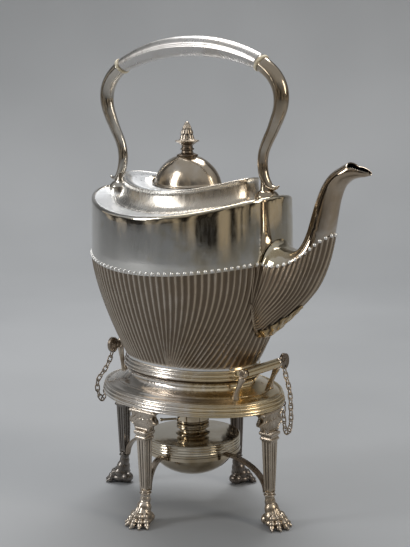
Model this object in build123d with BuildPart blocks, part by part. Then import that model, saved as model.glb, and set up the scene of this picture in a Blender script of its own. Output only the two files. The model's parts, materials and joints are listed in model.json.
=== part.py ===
from build123d import *
import os
from math import ceil, cos, pi, radians, sin, sqrt

os.makedirs("parts", exist_ok=True)

# Frame: origin on the floor under the middle of the stand, X along the spout, Y across it, Z up

# Clearances
rest_gap = 0.3
running_gap = 0.05
pin_gap = 0.3

# Kettle body: an oval bowl that swells from its foot to the belly, then a nearly upright band
wall = 1.5
body_foot_z = 125.0
body_foot_half_length = 60.0
body_foot_half_width = 43.0
belly_z = 206.0
belly_half_length = 88.0
belly_half_width = 67.3
body_swell = 1.5
body_steps = 5
rim_half_length = 86.6
rim_half_width = 65.9
cutter_reach = 110.0
body_blank_top_z = 270.0

# Saddle shapes: each edge is lowest at the sides and rises towards the spout and the back
shoulder_z = 242.6
shoulder_rise = 14.3
bead_z = 200.5
bead_rise = 9.3
bead_height = 3.4
bead_proud = 1.3
deck_z = 259.5
deck_rise = 10.1
deck_half_length = 61.6
deck_half_width = 38.0
neck_base_half_length = 66.0
neck_base_half_width = 44.0
neck_waist_z = 251.0
neck_waist_half_length = 62.3
neck_waist_half_width = 39.6

# Kettle foot and base
foot_height = 8.1
foot_wall = 2.6
foot_spread = 0.9
base_thickness = 1.6

# Strainer holes in the body wall behind the spout
strainer_hole_radius = 2.0
strainer_rows = 4
strainer_columns = 3
strainer_pitch = 6.5
strainer_z = 190.0

# Spout: stations along its middle line as X, Z, direction in degrees above X,
# half depth in the plane of symmetry and half width across it
spout_wall = 1.3
spout_stations = [
    (70.0, 178.0, 34.0, 27.0, 17.5),
    (92.0, 192.0, 39.0, 22.5, 18.5),
    (108.0, 204.5, 47.0, 17.6, 14.5),
    (119.5, 216.0, 62.0, 12.2, 10.8),
    (125.0, 229.0, 74.0, 9.2, 8.8),
    (128.3, 242.0, 79.0, 8.0, 8.0),
    (131.2, 254.0, 76.0, 7.4, 7.4),
    (136.6, 265.8, 58.0, 6.9, 7.3),
    (146.0, 273.6, 30.0, 5.4, 8.4),
    (155.0, 276.6, 12.0, 4.2, 7.4),
    (162.5, 277.4, 4.0, 2.6, 4.0),
]
mouth_start = (136.5, 277.6)
mouth_end = (168.0, 276.6)
leaf_thickness = 1.1
leaf_outline = [(60, 148), (72, 172), (92, 175), (108, 184), (118, 176), (104, 160), (84, 140)]

# Lid
lid_x = -2.0
lid_half_length = 31.0
lid_half_width = 21.0
lid_flange = 1.5
lid_wall = 1.3
lid_opening_margin = 3.0
lid_plug_depth = 3.2
lid_plug_gap = 1.0
dome_levels = [
    (258.0, 0.98),
    (264.0, 0.96),
    (268.0, 0.90),
    (272.0, 0.81),
    (276.0, 0.70),
    (279.0, 0.58),
    (281.6, 0.44),
    (283.8, 0.31),
]
lid_hinge_x = lid_x - lid_half_length - 2.2
lid_hinge_z = 265.4
lid_knuckle_radius = 1.9
lid_pin_radius = 0.9
lid_knuckle_length = 4.0
lid_knuckle_space = 0.3

# Finial
finial_foot_radius = 6.4
finial_stud_radius = 1.6
finial_nut_radius = 4.0
finial_nut_height = 2.4
finial_disc_radius = 9.6
finial_disc_z = 296.0
finial_bud_radius = 4.8
finial_tip_z = 310.6

# Handle: middle line of one arm as X, Z and radius, from its foot to the insulating ring
arm_stations = [
    (76.0, 261.0, 4.6),
    (73.6, 270.0, 3.9),
    (71.9, 279.0, 3.6),
    (74.0, 290.0, 3.8),
    (80.0, 302.5, 4.4),
    (86.0, 315.0, 5.1),
    (89.3, 327.0, 5.7),
    (87.2, 338.0, 5.8),
    (80.8, 347.0, 5.9),
    (72.0, 353.2, 6.0),
]
ring_thickness = 2.4
ring_proud = 0.9
ring_lean = 36.0
grip_middle_z = 368.0
grip_height = 7.9
grip_width = 7.2
grip_end_width = 6.2
socket_radius = 9.3
socket_neck_radius = 5.0
dowel_radius = 1.6
dowel_depth = 6.0

# Hinges between kettle and stand
front_pin_x = 70.0
front_pin_z = 124.0
front_barrel_half = 19.4
rear_pin_x = -68.0
rear_pin_z = 127.0
rear_barrel_half = 10.8
pin_radius = 2.0
barrel_radius = 3.7
lug_radius = 4.2
lug_thickness = 3.8
lug_foot_width = 9.0
knob_length = 10.0
knob_half_height = 6.3
knob_thickness = 2.6
knob_eye_radius = 1.2
knob_eye_drop = 4.4
knob_eye_offset = 6.3

# Stand
collar_top_half_length = 60.0
collar_top_half_width = 43.0
collar_top_z = 115.0
collar_base_half_length = 69.0
collar_base_half_width = 50.0
collar_base_z = 104.0
collar_waist_share = 0.22
collar_wall = 1.6
vent_clusters = 8
vent_radius = 0.9
vent_spread = 3.0
vent_z = 109.5
plate_edge_half_length = 78.0
plate_edge_half_width = 57.0
plate_edge_z = 100.5
border_half_length = 81.9
border_half_width = 60.4
border_bottom_z = 91.9
border_reeds = 3

# Legs
leg_reach_x = 78.2
leg_reach_y = 57.1
head_width = 22.0
head_bottom_width = 11.0
head_height = 16.0
head_thickness = 7.0
capital_side = 9.4
capital_height = 6.5
shaft_top_side = 7.2
shaft_bottom_side = 5.5
ankle_z = 23.5
ankle_radius = 4.5
ankle_ring_height = 3.0
paw_length = 13.0
paw_width = 9.4
paw_forward = 7.5
toe_radius = 3.9
toe_count = 4
toe_spread = 34.0

# Burner and the ring that carries it
ring_outer_radius = 38.6
ring_inner_radius = 34.4
ring_top_z = 49.6
ring_height = 2.8
stretcher_width = 5.0
stretcher_thickness = 2.0
stretcher_foot_z = 26.0
bowl_bottom_z = 27.0
bowl_radius = 33.8
bowl_wall = 1.2
burner_radius = 38.3
burner_flange = 1.4
burner_top_z = 59.4
burner_top_rise = 0.8
neck_radius = 10.5
neck_waist_height = 4.6
neck_flange_radius = 13.3
neck_flange_height = 4.6
neck_tube_radius = 10.0
neck_top_z = 81.0
sleeve_height = 9.0
sleeve_wall = 3.2
regulator_arm_reach = 25.5
regulator_arm_radius = 1.0
regulator_arm_angle = 50.0
wick_tube_radius = 5.6
wick_tube_bore = 4.6
wick_tube_bottom_z = 40.0
wick_tube_top_z = 84.0
wick_radius = 4.3
wick_bottom_z = 31.0
wick_top_z = 86.5

# Chains that keep the pins with the stand
link_wire = 0.42
link_pitch = 3.1
link_half_width = 1.25
eyelet_radius = 1.9
eyelet_wire = 0.55
eyelet_x = 68.2
eyelet_y = 31.5
eyelet_drop = 2.6
link_slack = 0.2
jump_ring_radius = 2.3
front_chain_shape = [
    (70.6, 30.4, 109.5),
    (72.9, 32.1, 101.5),
    (73.4, 32.5, 93.0),
    (73.6, 32.8, 84.0),
    (74.0, 33.0, 74.0),
    (70.8, 31.8, 66.5),
    (67.4, 30.6, 74.0),
]
rear_chain_shape = [
    (-68.6, -22.5, 113.5),
    (-71.6, -28.8, 107.0),
    (-74.2, -34.6, 100.0),
    (-75.0, -36.0, 92.0),
    (-75.0, -36.0, 85.0),
    (-71.2, -33.4, 79.0),
    (-67.6, -31.0, 83.0),
]


def oval(z, half_length, half_width, x=0.0):
    """A horizontal oval face."""
    with BuildSketch(Plane.XY.offset(z)) as face:
        with Locations((x, 0)):
            Ellipse(half_length, half_width)
    return face.sketch


def oval_block(z_low, z_high, half_length, half_width, x=0.0, mode=Mode.ADD):
    """An upright oval block between two heights."""
    extrude(oval(z_low, half_length, half_width, x), amount=z_high - z_low, mode=mode)


def under_saddle(z_side, rise, half_length, mode):
    """The space under a saddle: z_side high across the middle, rising along X."""
    radius = (half_length**2 + rise**2) / (2 * rise)
    end_z = z_side + radius - sqrt(radius**2 - cutter_reach**2)
    with BuildSketch(Plane.XZ) as side:
        with BuildLine():
            ThreePointArc((-cutter_reach, end_z), (0, z_side), (cutter_reach, end_z))
            Polyline((cutter_reach, end_z), (cutter_reach, 0), (-cutter_reach, 0), (-cutter_reach, end_z))
        make_face()
    extrude(side.sketch, amount=cutter_reach, both=True, mode=mode)


def body_form(inset=0.0, mode=Mode.ADD):
    """The kettle bowl and band as a solid, drawn in by inset all round."""
    bowl = []
    for step in range(body_steps + 1):
        height = step / body_steps
        swell = 1 - (1 - height) ** body_swell
        z = body_foot_z + height * (belly_z - body_foot_z)
        half_length = body_foot_half_length + swell * (belly_half_length - body_foot_half_length)
        half_width = body_foot_half_width + swell * (belly_half_width - body_foot_half_width)
        bowl.append(oval(z, half_length - inset, half_width - inset))
    loft(bowl, mode=mode)
    belly = oval(belly_z, belly_half_length - inset, belly_half_width - inset)
    top = oval(body_blank_top_z, rim_half_length - inset, rim_half_width - inset)
    loft([belly, top], ruled=True, mode=mode)


def spout_form(grow=0.0, mode=Mode.ADD):
    """The spout as a solid, through ovals square to its middle line."""
    sections = []
    for x, z, lean, half_depth, half_width in spout_stations:
        along = (cos(radians(lean)), 0, sin(radians(lean)))
        with BuildSketch(Plane(origin=(x, 0, z), x_dir=(0, 1, 0), z_dir=along)) as section:
            with BuildLine():
                turns = [k * pi / 4 for k in range(8)]
                Spline(
                    *[((half_width + grow) * cos(t), (half_depth + grow) * sin(t)) for t in turns],
                    periodic=True,
                )
            make_face()
        sections.append(section.sketch)
    loft(sections, mode=mode)


def outline_block(points, half_thickness, y=0.0, mode=Mode.ADD):
    """A flat plate with the given X, Z outline, centred on y."""
    with BuildSketch(Plane.XZ.offset(-y)) as outline:
        with BuildLine():
            Polyline(*points, close=True)
        make_face()
    extrude(outline.sketch, amount=half_thickness, both=True, mode=mode)


def y_rod(x, z, y_low, y_high, radius, mode=Mode.ADD):
    """A round bar parallel to Y."""
    with BuildSketch(Plane(origin=(x, y_low, z), x_dir=(1, 0, 0), z_dir=(0, 1, 0))) as end:
        Circle(radius)
    extrude(end.sketch, amount=y_high - y_low, mode=mode)


# Kettle: body, base, foot
with BuildPart() as kettle_body:
    body_form()
    under_saddle(shoulder_z - wall, shoulder_rise, rim_half_length, Mode.INTERSECT)
    body_form(wall, Mode.SUBTRACT)
    with BuildSketch(Plane.YZ.offset(belly_half_length / 2)):
        with Locations((0, strainer_z)):
            with GridLocations(strainer_pitch, strainer_pitch, strainer_columns, strainer_rows):
                Circle(strainer_hole_radius)
    extrude(amount=belly_half_length, mode=Mode.SUBTRACT)
kettle_body.part.label = "kettle_body"
export_step(kettle_body.part, "parts/kettle_body.step")

with BuildPart() as kettle_base:
    oval_block(body_foot_z - base_thickness, body_foot_z, body_foot_half_length, body_foot_half_width)
kettle_base.part.label = "kettle_base"
export_step(kettle_base.part, "parts/kettle_base.step")

foot_top_z = body_foot_z - base_thickness
foot_bottom_z = foot_top_z - foot_height


def foot_form(mode=Mode.ADD):
    """Three rounded reeds, each a little wider than the one above."""
    reed = foot_height / 3
    for step in range(3):
        oval_block(
            foot_top_z - (step + 1) * reed,
            foot_top_z - step * reed,
            body_foot_half_length + step * foot_spread,
            body_foot_half_width + step * foot_spread,
            mode=mode,
        )


with BuildPart() as kettle_foot:
    foot_form()
    oval_block(
        foot_bottom_z,
        foot_top_z,
        body_foot_half_length - foot_wall,
        body_foot_half_width - foot_wall,
        mode=Mode.SUBTRACT,
    )
kettle_foot.part.label = "kettle_foot"
export_step(kettle_foot.part, "parts/kettle_foot.step")

# Kettle: shoulder, neck wall and deck, all cut by saddles
with BuildPart() as shoulder_plate:
    oval_block(belly_z, body_blank_top_z, rim_half_length, rim_half_width)
    under_saddle(shoulder_z, shoulder_rise, rim_half_length, Mode.INTERSECT)
    under_saddle(shoulder_z - wall, shoulder_rise, rim_half_length, Mode.SUBTRACT)
    oval_block(
        belly_z,
        body_blank_top_z,
        neck_waist_half_length - wall,
        neck_waist_half_width - wall,
        mode=Mode.SUBTRACT,
    )
shoulder_plate.part.label = "shoulder_plate"
export_step(shoulder_plate.part, "parts/shoulder_plate.step")


def neck_form(inset=0.0, mode=Mode.ADD):
    """The concave raised neck as a solid."""
    levels = [
        (shoulder_z - wall, neck_base_half_length, neck_base_half_width),
        (neck_waist_z, neck_waist_half_length, neck_waist_half_width),
        (body_blank_top_z, deck_half_length, deck_half_width),
    ]
    loft([oval(z, length - inset, width - inset) for z, length, width in levels], mode=mode)


with BuildPart() as neck_wall:
    neck_form()
    under_saddle(deck_z - wall, deck_rise, deck_half_length, Mode.INTERSECT)
    under_saddle(shoulder_z, shoulder_rise, rim_half_length, Mode.SUBTRACT)
    neck_form(wall, Mode.SUBTRACT)
neck_wall.part.label = "neck_wall"
export_step(neck_wall.part, "parts/neck_wall.step")

opening_half_length = lid_half_length - lid_opening_margin
opening_half_width = lid_half_width - lid_opening_margin
with BuildPart() as deck_plate:
    oval_block(belly_z, body_blank_top_z + 10, deck_half_length + 0.8, deck_half_width + 0.8)
    under_saddle(deck_z, deck_rise, deck_half_length, Mode.INTERSECT)
    under_saddle(deck_z - wall, deck_rise, deck_half_length, Mode.SUBTRACT)
    oval_block(belly_z, 300, opening_half_length, opening_half_width, lid_x, mode=Mode.SUBTRACT)
deck_plate.part.label = "deck_plate"
export_step(deck_plate.part, "parts/deck_plate.step")

# Spout, its leaf, and the bead wire that it interrupts
with BuildPart() as spout:
    spout_form()
    body_form(mode=Mode.SUBTRACT)
    spout_form(-spout_wall, Mode.SUBTRACT)
    outline_block(
        [mouth_start, (mouth_start[0] + 3, mouth_start[1] + 9), (mouth_end[0], mouth_end[1] + 9), mouth_end],
        belly_half_width,
        mode=Mode.SUBTRACT,
    )
spout.part.label = "spout"
export_step(spout.part, "parts/spout.step")

with BuildPart() as spout_leaf:
    spout_form(leaf_thickness)
    outline_block(leaf_outline, belly_half_width, mode=Mode.INTERSECT)
    spout_form(mode=Mode.SUBTRACT)
    body_form(mode=Mode.SUBTRACT)
spout_leaf.part.label = "spout_leaf"
export_step(spout_leaf.part, "parts/spout_leaf.step")

with BuildPart() as bead_wire:
    oval_block(bead_z - 20, body_blank_top_z, belly_half_length + bead_proud, belly_half_width + bead_proud)
    under_saddle(bead_z + bead_height / 2, bead_rise, belly_half_length, Mode.INTERSECT)
    under_saddle(bead_z - bead_height / 2, bead_rise, belly_half_length, Mode.SUBTRACT)
    body_form(mode=Mode.SUBTRACT)
    spout_form(mode=Mode.SUBTRACT)
bead_wire.part.label = "bead_wire"
export_step(bead_wire.part, "parts/bead_wire.step")

# Lid: a flange that follows the deck, a dome and a plug that drops into the opening
lid_seat_z = deck_z + rest_gap
dome_bottom_z = dome_levels[0][0]
dome_top_z = dome_levels[-1][0]


def dome_form(inset=0.0, mode=Mode.ADD):
    """The lid dome as a solid, drawn in by inset all round and at the top."""
    levels = []
    for z, share in dome_levels:
        levels.append(oval(z - inset, lid_half_length * share - inset, lid_half_width * share - inset, lid_x))
    loft(levels, mode=mode)


def knuckle(y_middle):
    """One barrel of the lid hinge."""
    half = lid_knuckle_length / 2
    y_rod(lid_hinge_x, lid_hinge_z, y_middle - half, y_middle + half, lid_knuckle_radius)


bezel_half_length = opening_half_length - lid_plug_gap
bezel_half_width = opening_half_width - lid_plug_gap
with BuildPart() as lid_flange_ring:
    oval_block(dome_bottom_z, dome_top_z, lid_half_length, lid_half_width, lid_x)
    under_saddle(lid_seat_z + lid_flange, deck_rise, deck_half_length, Mode.INTERSECT)
    under_saddle(lid_seat_z, deck_rise, deck_half_length, Mode.SUBTRACT)
    oval_block(
        dome_bottom_z,
        dome_top_z,
        bezel_half_length - lid_wall,
        bezel_half_width - lid_wall,
        lid_x,
        Mode.SUBTRACT,
    )

with BuildPart() as lid_dome:
    dome_form()
    dome_form(lid_wall, Mode.SUBTRACT)
    under_saddle(lid_seat_z, deck_rise, deck_half_length, Mode.SUBTRACT)
    add(lid_flange_ring.part)
    with Locations((lid_x, 0, dome_top_z)):
        Cylinder(finial_stud_radius, 4 * lid_wall, mode=Mode.SUBTRACT)
lid_dome.part.label = "lid_dome"
export_step(lid_dome.part, "parts/lid_dome.step")

with BuildPart() as lid_bezel:
    oval_block(deck_z - lid_plug_depth, dome_top_z, bezel_half_length, bezel_half_width, lid_x)
    under_saddle(lid_seat_z, deck_rise, deck_half_length, Mode.INTERSECT)
    oval_block(
        deck_z - lid_plug_depth,
        dome_top_z,
        bezel_half_length - lid_wall,
        bezel_half_width - lid_wall,
        lid_x,
        Mode.SUBTRACT,
    )
lid_bezel.part.label = "lid_bezel"
export_step(lid_bezel.part, "parts/lid_bezel.step")

# Lid hinge: one knuckle on the lid between two on the deck
lid_leaf_end_x = lid_hinge_x - 6
lid_leaf_thickness = 1.3
knuckle_pitch = lid_knuckle_length + lid_knuckle_space

with BuildPart() as lid_knuckle:
    outline_block(
        [
            (lid_hinge_x, lid_hinge_z + lid_leaf_thickness),
            (lid_x - lid_half_length + 6, lid_hinge_z + lid_leaf_thickness),
            (lid_x - lid_half_length + 6, lid_hinge_z - 5),
            (lid_x - lid_half_length + 0.5, lid_hinge_z - 1.2),
            (lid_hinge_x, lid_hinge_z - 0.6),
        ],
        lid_knuckle_length / 2,
    )
    dome_form(mode=Mode.SUBTRACT)
    under_saddle(lid_seat_z + lid_flange, deck_rise, deck_half_length, Mode.SUBTRACT)
    knuckle(0)
    y_rod(lid_hinge_x, lid_hinge_z, -5, 5, lid_pin_radius + running_gap, Mode.SUBTRACT)
lid_knuckle.part.label = "lid_knuckle"
export_step(lid_knuckle.part, "parts/lid_knuckle.step")

with BuildPart() as deck_hinge_leaf:
    outline_block(
        [
            (lid_hinge_x, lid_hinge_z + lid_leaf_thickness / 2),
            (lid_leaf_end_x, lid_hinge_z),
            (lid_leaf_end_x, deck_z - 4),
            (lid_hinge_x + 1, deck_z - 4),
            (lid_hinge_x + 1, lid_hinge_z - lid_leaf_thickness),
        ],
        knuckle_pitch + lid_knuckle_length / 2,
    )
    under_saddle(deck_z, deck_rise, deck_half_length, Mode.SUBTRACT)
    y_rod(
        lid_hinge_x,
        lid_hinge_z,
        -lid_knuckle_length / 2 - lid_knuckle_space,
        lid_knuckle_length / 2 + lid_knuckle_space,
        lid_knuckle_radius + rest_gap,
        Mode.SUBTRACT,
    )
    knuckle(knuckle_pitch)
    knuckle(-knuckle_pitch)
    y_rod(lid_hinge_x, lid_hinge_z, -10, 10, lid_pin_radius, Mode.SUBTRACT)
deck_hinge_leaf.part.label = "deck_hinge_leaf"
export_step(deck_hinge_leaf.part, "parts/deck_hinge_leaf.step")

with BuildPart() as lid_hinge_pin:
    half = knuckle_pitch + lid_knuckle_length / 2 + 0.4
    y_rod(lid_hinge_x, lid_hinge_z, -half, half, lid_pin_radius)
lid_hinge_pin.part.label = "lid_hinge_pin"
export_step(lid_hinge_pin.part, "parts/lid_hinge_pin.step")

# Finial with its stud, and the nut inside the dome
with BuildPart() as finial:
    with BuildSketch(Plane.XZ):
        with BuildLine():
            foot = dome_top_z
            disc = finial_disc_z
            Polyline((0, foot), (finial_foot_radius, foot), (finial_foot_radius - 0.4, foot + 0.8))
            ThreePointArc((6.0, foot + 0.8), (4.3, foot + 2.2), (3.9, foot + 3.6))
            Polyline((3.9, foot + 3.6), (4.7, foot + 4.2), (4.7, foot + 5.2), (3.6, foot + 5.8))
            ThreePointArc((3.6, foot + 5.8), (3.1, foot + 8.0), (4.0, disc - 1.4))
            Polyline((4.0, disc - 1.4), (finial_disc_radius, disc - 0.5), (finial_disc_radius, disc + 0.4))
            Line((finial_disc_radius, disc + 0.4), (finial_bud_radius - 0.6, disc + 1.6))
            bud_side = (finial_bud_radius, disc + 4.2)
            ThreePointArc((finial_bud_radius - 0.6, disc + 1.6), bud_side, (1.5, disc + 11.4))
            Line((1.5, disc + 11.4), (1.5, finial_tip_z - 1.5))
            RadiusArc((1.5, finial_tip_z - 1.5), (0, finial_tip_z), -1.5)
            Line((0, finial_tip_z), (0, foot))
        make_face()
    revolve(axis=Axis.Z)
    with Locations((0, 0, dome_top_z)):
        stud_length = lid_wall + finial_nut_height + 0.8
        Cylinder(finial_stud_radius, stud_length, align=(Align.CENTER, Align.CENTER, Align.MAX))
finial.part.position = (lid_x, 0, 0)
finial.part.label = "finial"
export_step(finial.part, "parts/finial.step")

with BuildPart() as finial_nut:
    nut_top_z = dome_top_z - lid_wall
    with BuildSketch(Plane.XY.offset(nut_top_z - finial_nut_height)):
        with Locations((lid_x, 0)):
            RegularPolygon(finial_nut_radius, 6)
            Circle(finial_stud_radius, mode=Mode.SUBTRACT)
    extrude(amount=finial_nut_height)
finial_nut.part.label = "finial_nut"
export_step(finial_nut.part, "parts/finial_nut.step")

# Handle: two arms on domed sockets, two insulating rings, dowels through them, and the grip
ring_x = arm_stations[-1][0]
ring_z = arm_stations[-1][1]
ring_step_x = ring_thickness * cos(radians(ring_lean))
ring_step_z = ring_thickness * sin(radians(ring_lean))
grip_end_x = ring_x - ring_step_x
grip_end_z = ring_z + ring_step_z
grip_curve = 2.2
grip_stations = 8
for side, place in ((1, "front"), (-1, "rear")):
    into_grip = (-side * cos(radians(ring_lean)), 0, sin(radians(ring_lean)))
    ring_plane = Plane(origin=(side * ring_x, 0, ring_z), x_dir=(0, 1, 0), z_dir=into_grip)
    with BuildPart() as arm:
        sections = []
        last = len(arm_stations) - 1
        for k, (x, z, radius) in enumerate(arm_stations):
            if k == 0:
                along = (0, 0, 1)
            elif k == last:
                along = into_grip
            else:
                before = arm_stations[k - 1]
                after = arm_stations[k + 1]
                along = (side * (after[0] - before[0]), 0, after[1] - before[1])
            with BuildSketch(Plane(origin=(side * x, 0, z), x_dir=(0, 1, 0), z_dir=along)) as section:
                Circle(radius)
            sections.append(section.sketch)
        loft(sections)
        with BuildSketch(ring_plane) as dowel_hole:
            Circle(dowel_radius)
        extrude(dowel_hole.sketch, amount=-dowel_depth, mode=Mode.SUBTRACT)
    arm.part.label = f"handle_arm_{place}"
    export_step(arm.part, f"parts/handle_arm_{place}.step")

    with BuildPart() as insulator:
        with BuildSketch(ring_plane):
            Circle(arm_stations[-1][2] + ring_proud)
        extrude(amount=ring_thickness)
        fillet(insulator.edges(), ring_thickness * 0.3)
        with BuildSketch(ring_plane) as dowel_hole:
            Circle(dowel_radius)
        extrude(dowel_hole.sketch, amount=ring_thickness, mode=Mode.SUBTRACT)
    insulator.part.label = f"insulator_ring_{place}"
    export_step(insulator.part, f"parts/insulator_ring_{place}.step")

    with BuildPart() as socket:
        arm_foot_x = arm_stations[0][0]
        arm_foot_z = arm_stations[0][1]
        with BuildSketch(Plane.XZ):
            with BuildLine():
                Line((0, shoulder_z), (socket_radius, shoulder_z))
                Line((socket_radius, shoulder_z), (socket_radius, arm_foot_z - 4.4))
                ThreePointArc(
                    (socket_radius, arm_foot_z - 4.4),
                    (socket_radius - 1.7, arm_foot_z - 1.8),
                    (socket_neck_radius, arm_foot_z),
                )
                Polyline((socket_neck_radius, arm_foot_z), (0, arm_foot_z), (0, shoulder_z))
            make_face()
        revolve(axis=Axis.Z)
        socket.part.position = (side * arm_foot_x, 0, 0)
        under_saddle(shoulder_z, shoulder_rise, rim_half_length, Mode.SUBTRACT)
    socket.part.label = f"handle_socket_{place}"
    export_step(socket.part, f"parts/handle_socket_{place}.step")

with BuildPart() as handle_dowels:
    for side in (1, -1):
        into_grip = (-side * cos(radians(ring_lean)), 0, sin(radians(ring_lean)))
        start = Vector(side * ring_x, 0, ring_z) - Vector(into_grip) * dowel_depth
        with BuildSketch(Plane(origin=start, x_dir=(0, 1, 0), z_dir=into_grip)) as dowel:
            Circle(dowel_radius)
        extrude(dowel.sketch, amount=2 * dowel_depth + ring_thickness)
handle_dowels.part.label = "handle_dowels"
export_step(handle_dowels.part, "parts/handle_dowels.step")

with BuildPart() as handle_grip:
    sections = []
    for k in range(grip_stations + 1):
        x = grip_end_x * (2 * k / grip_stations - 1)
        share = abs(x / grip_end_x)
        z = grip_middle_z - (grip_middle_z - grip_end_z) * share**grip_curve
        slope = grip_curve * (grip_middle_z - grip_end_z) * share ** (grip_curve - 1) / grip_end_x
        if k in (0, grip_stations):
            slope = sin(radians(ring_lean)) / cos(radians(ring_lean))
        along = (1, 0, -slope if x > 0 else slope)
        swell = 1 - share**2
        with BuildSketch(Plane(origin=(x, 0, z), x_dir=(0, 1, 0), z_dir=along)) as section:
            with BuildLine():
                half_width = grip_end_width + swell * (grip_width - grip_end_width)
                half_height = grip_end_width + swell * (grip_height - grip_end_width)
                turns = [step * pi / 4 for step in range(8)]
                Spline(*[(half_width * cos(t), half_height * sin(t)) for t in turns], periodic=True)
            make_face()
        sections.append(section.sketch)
    loft(sections)
    add(handle_dowels.part, mode=Mode.SUBTRACT)
handle_grip.part.label = "handle_grip"
export_step(handle_grip.part, "parts/handle_grip.step")


# Stand: collar, plate and border
def collar_form(inset=0.0, mode=Mode.ADD):
    """The flaring collar as a solid, drawn in by inset."""
    spread_length = collar_base_half_length - collar_top_half_length
    spread_width = collar_base_half_width - collar_top_half_width
    middle = oval(
        (collar_top_z + collar_base_z) / 2,
        collar_top_half_length + collar_waist_share * spread_length - inset,
        collar_top_half_width + collar_waist_share * spread_width - inset,
    )
    bottom = oval(collar_base_z, collar_base_half_length - inset, collar_base_half_width - inset)
    top = oval(collar_top_z, collar_top_half_length - inset, collar_top_half_width - inset)
    loft([bottom, middle, top], mode=mode)


with BuildPart() as stand_collar:
    collar_form()
    collar_form(collar_wall, Mode.SUBTRACT)
    for cluster in range(vent_clusters):
        turn = 2 * pi * (cluster + 0.5) / vent_clusters
        outward = (cos(turn) / collar_top_half_length, sin(turn) / collar_top_half_width, 0)
        start = (
            (collar_top_half_length - 8) * cos(turn),
            (collar_top_half_width - 8) * sin(turn),
            vent_z,
        )
        with BuildSketch(Plane(origin=start, x_dir=(-outward[1], outward[0], 0), z_dir=outward)) as vents:
            with PolarLocations(vent_spread, 5, 90):
                Circle(vent_radius)
            Circle(vent_radius)
        extrude(vents.sketch, amount=20, mode=Mode.SUBTRACT)
stand_collar.part.label = "stand_collar"
export_step(stand_collar.part, "parts/stand_collar.step")

plate_thickness = 1.6
plate_bottom_z = plate_edge_z - plate_thickness
plate_hole_half_length = collar_base_half_length - collar_wall - 1
plate_hole_half_width = collar_base_half_width - collar_wall - 1
border_top_z = plate_edge_z + 0.4


def plate_form(mode=Mode.ADD):
    """The sloping plate without its hole or its hollow underside."""
    edge_low = oval(plate_bottom_z, plate_edge_half_length, plate_edge_half_width)
    edge_high = oval(plate_edge_z, plate_edge_half_length, plate_edge_half_width)
    inner = oval(collar_base_z, collar_base_half_length, collar_base_half_width)
    loft([edge_low, edge_high, inner], ruled=True, mode=mode)


with BuildPart() as stand_plate:
    plate_form()
    under_edge = oval(plate_bottom_z, plate_edge_half_length - 1.6, plate_edge_half_width - 1.6)
    under_top_z = collar_base_z - plate_thickness
    under_top = oval(under_top_z, collar_base_half_length - 1.6, collar_base_half_width - 1.6)
    loft([under_edge, under_top], ruled=True, mode=Mode.SUBTRACT)
    oval_block(
        plate_bottom_z,
        collar_base_z,
        plate_hole_half_length,
        plate_hole_half_width,
        mode=Mode.SUBTRACT,
    )
stand_plate.part.label = "stand_plate"
export_step(stand_plate.part, "parts/stand_plate.step")

with BuildPart() as stand_border:
    reed_height = (border_top_z - border_bottom_z) / border_reeds
    for reed in range(border_reeds):
        spread = (reed + 1) / border_reeds
        oval_block(
            border_top_z - (reed + 1) * reed_height,
            border_top_z - reed * reed_height,
            plate_edge_half_length + spread * (border_half_length - plate_edge_half_length),
            plate_edge_half_width + spread * (border_half_width - plate_edge_half_width),
        )
    oval_block(
        border_bottom_z,
        border_top_z,
        plate_edge_half_length,
        plate_edge_half_width,
        mode=Mode.SUBTRACT,
    )
stand_border.part.label = "stand_border"
export_step(stand_border.part, "parts/stand_border.step")


# Hinges: barrels on the kettle foot, lugs on the stand, pins with spade knobs
def foot_solid(mode):
    """Everything that the kettle foot and bowl fill, for cutting what is fixed to them."""
    foot_form(mode)
    oval_block(foot_top_z, body_foot_z, body_foot_half_length, body_foot_half_width, mode=mode)
    body_form(mode=mode)


with BuildPart() as front_barrel:
    outline_block(
        [
            (body_foot_half_length - 8, front_pin_z - 5.6),
            (body_foot_half_length - 8, front_pin_z - 2.2),
            (front_pin_x, front_pin_z + 1.6),
            (front_pin_x, front_pin_z - 2.4),
        ],
        front_barrel_half - 4,
    )
    foot_solid(Mode.SUBTRACT)
    y_rod(front_pin_x, front_pin_z, -front_barrel_half, front_barrel_half, barrel_radius)
    y_rod(front_pin_x, front_pin_z, -30, 30, pin_radius + running_gap, Mode.SUBTRACT)
front_barrel.part.label = "front_barrel"
export_step(front_barrel.part, "parts/front_barrel.step")

with BuildPart() as rear_saddle:
    outline_block(
        [
            (-body_foot_half_length + 8, rear_pin_z - 6),
            (-body_foot_half_length + 8, rear_pin_z - 1),
            (rear_pin_x, rear_pin_z + 3),
            (rear_pin_x, rear_pin_z),
            (rear_pin_x + 3, rear_pin_z - 2.6),
        ],
        rear_barrel_half,
    )
    foot_solid(Mode.SUBTRACT)
    y_rod(rear_pin_x, rear_pin_z, -rear_barrel_half, rear_barrel_half, barrel_radius)
    slot = pin_radius + pin_gap
    y_rod(rear_pin_x, rear_pin_z, -30, 30, slot, Mode.SUBTRACT)
    outline_block(
        [
            (rear_pin_x - slot, rear_pin_z),
            (rear_pin_x + slot, rear_pin_z),
            (rear_pin_x + slot, rear_pin_z - 10),
            (rear_pin_x - slot, rear_pin_z - 10),
        ],
        rear_barrel_half + 5,
        mode=Mode.SUBTRACT,
    )
rear_saddle.part.label = "rear_saddle"
export_step(rear_saddle.part, "parts/rear_saddle.step")

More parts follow.
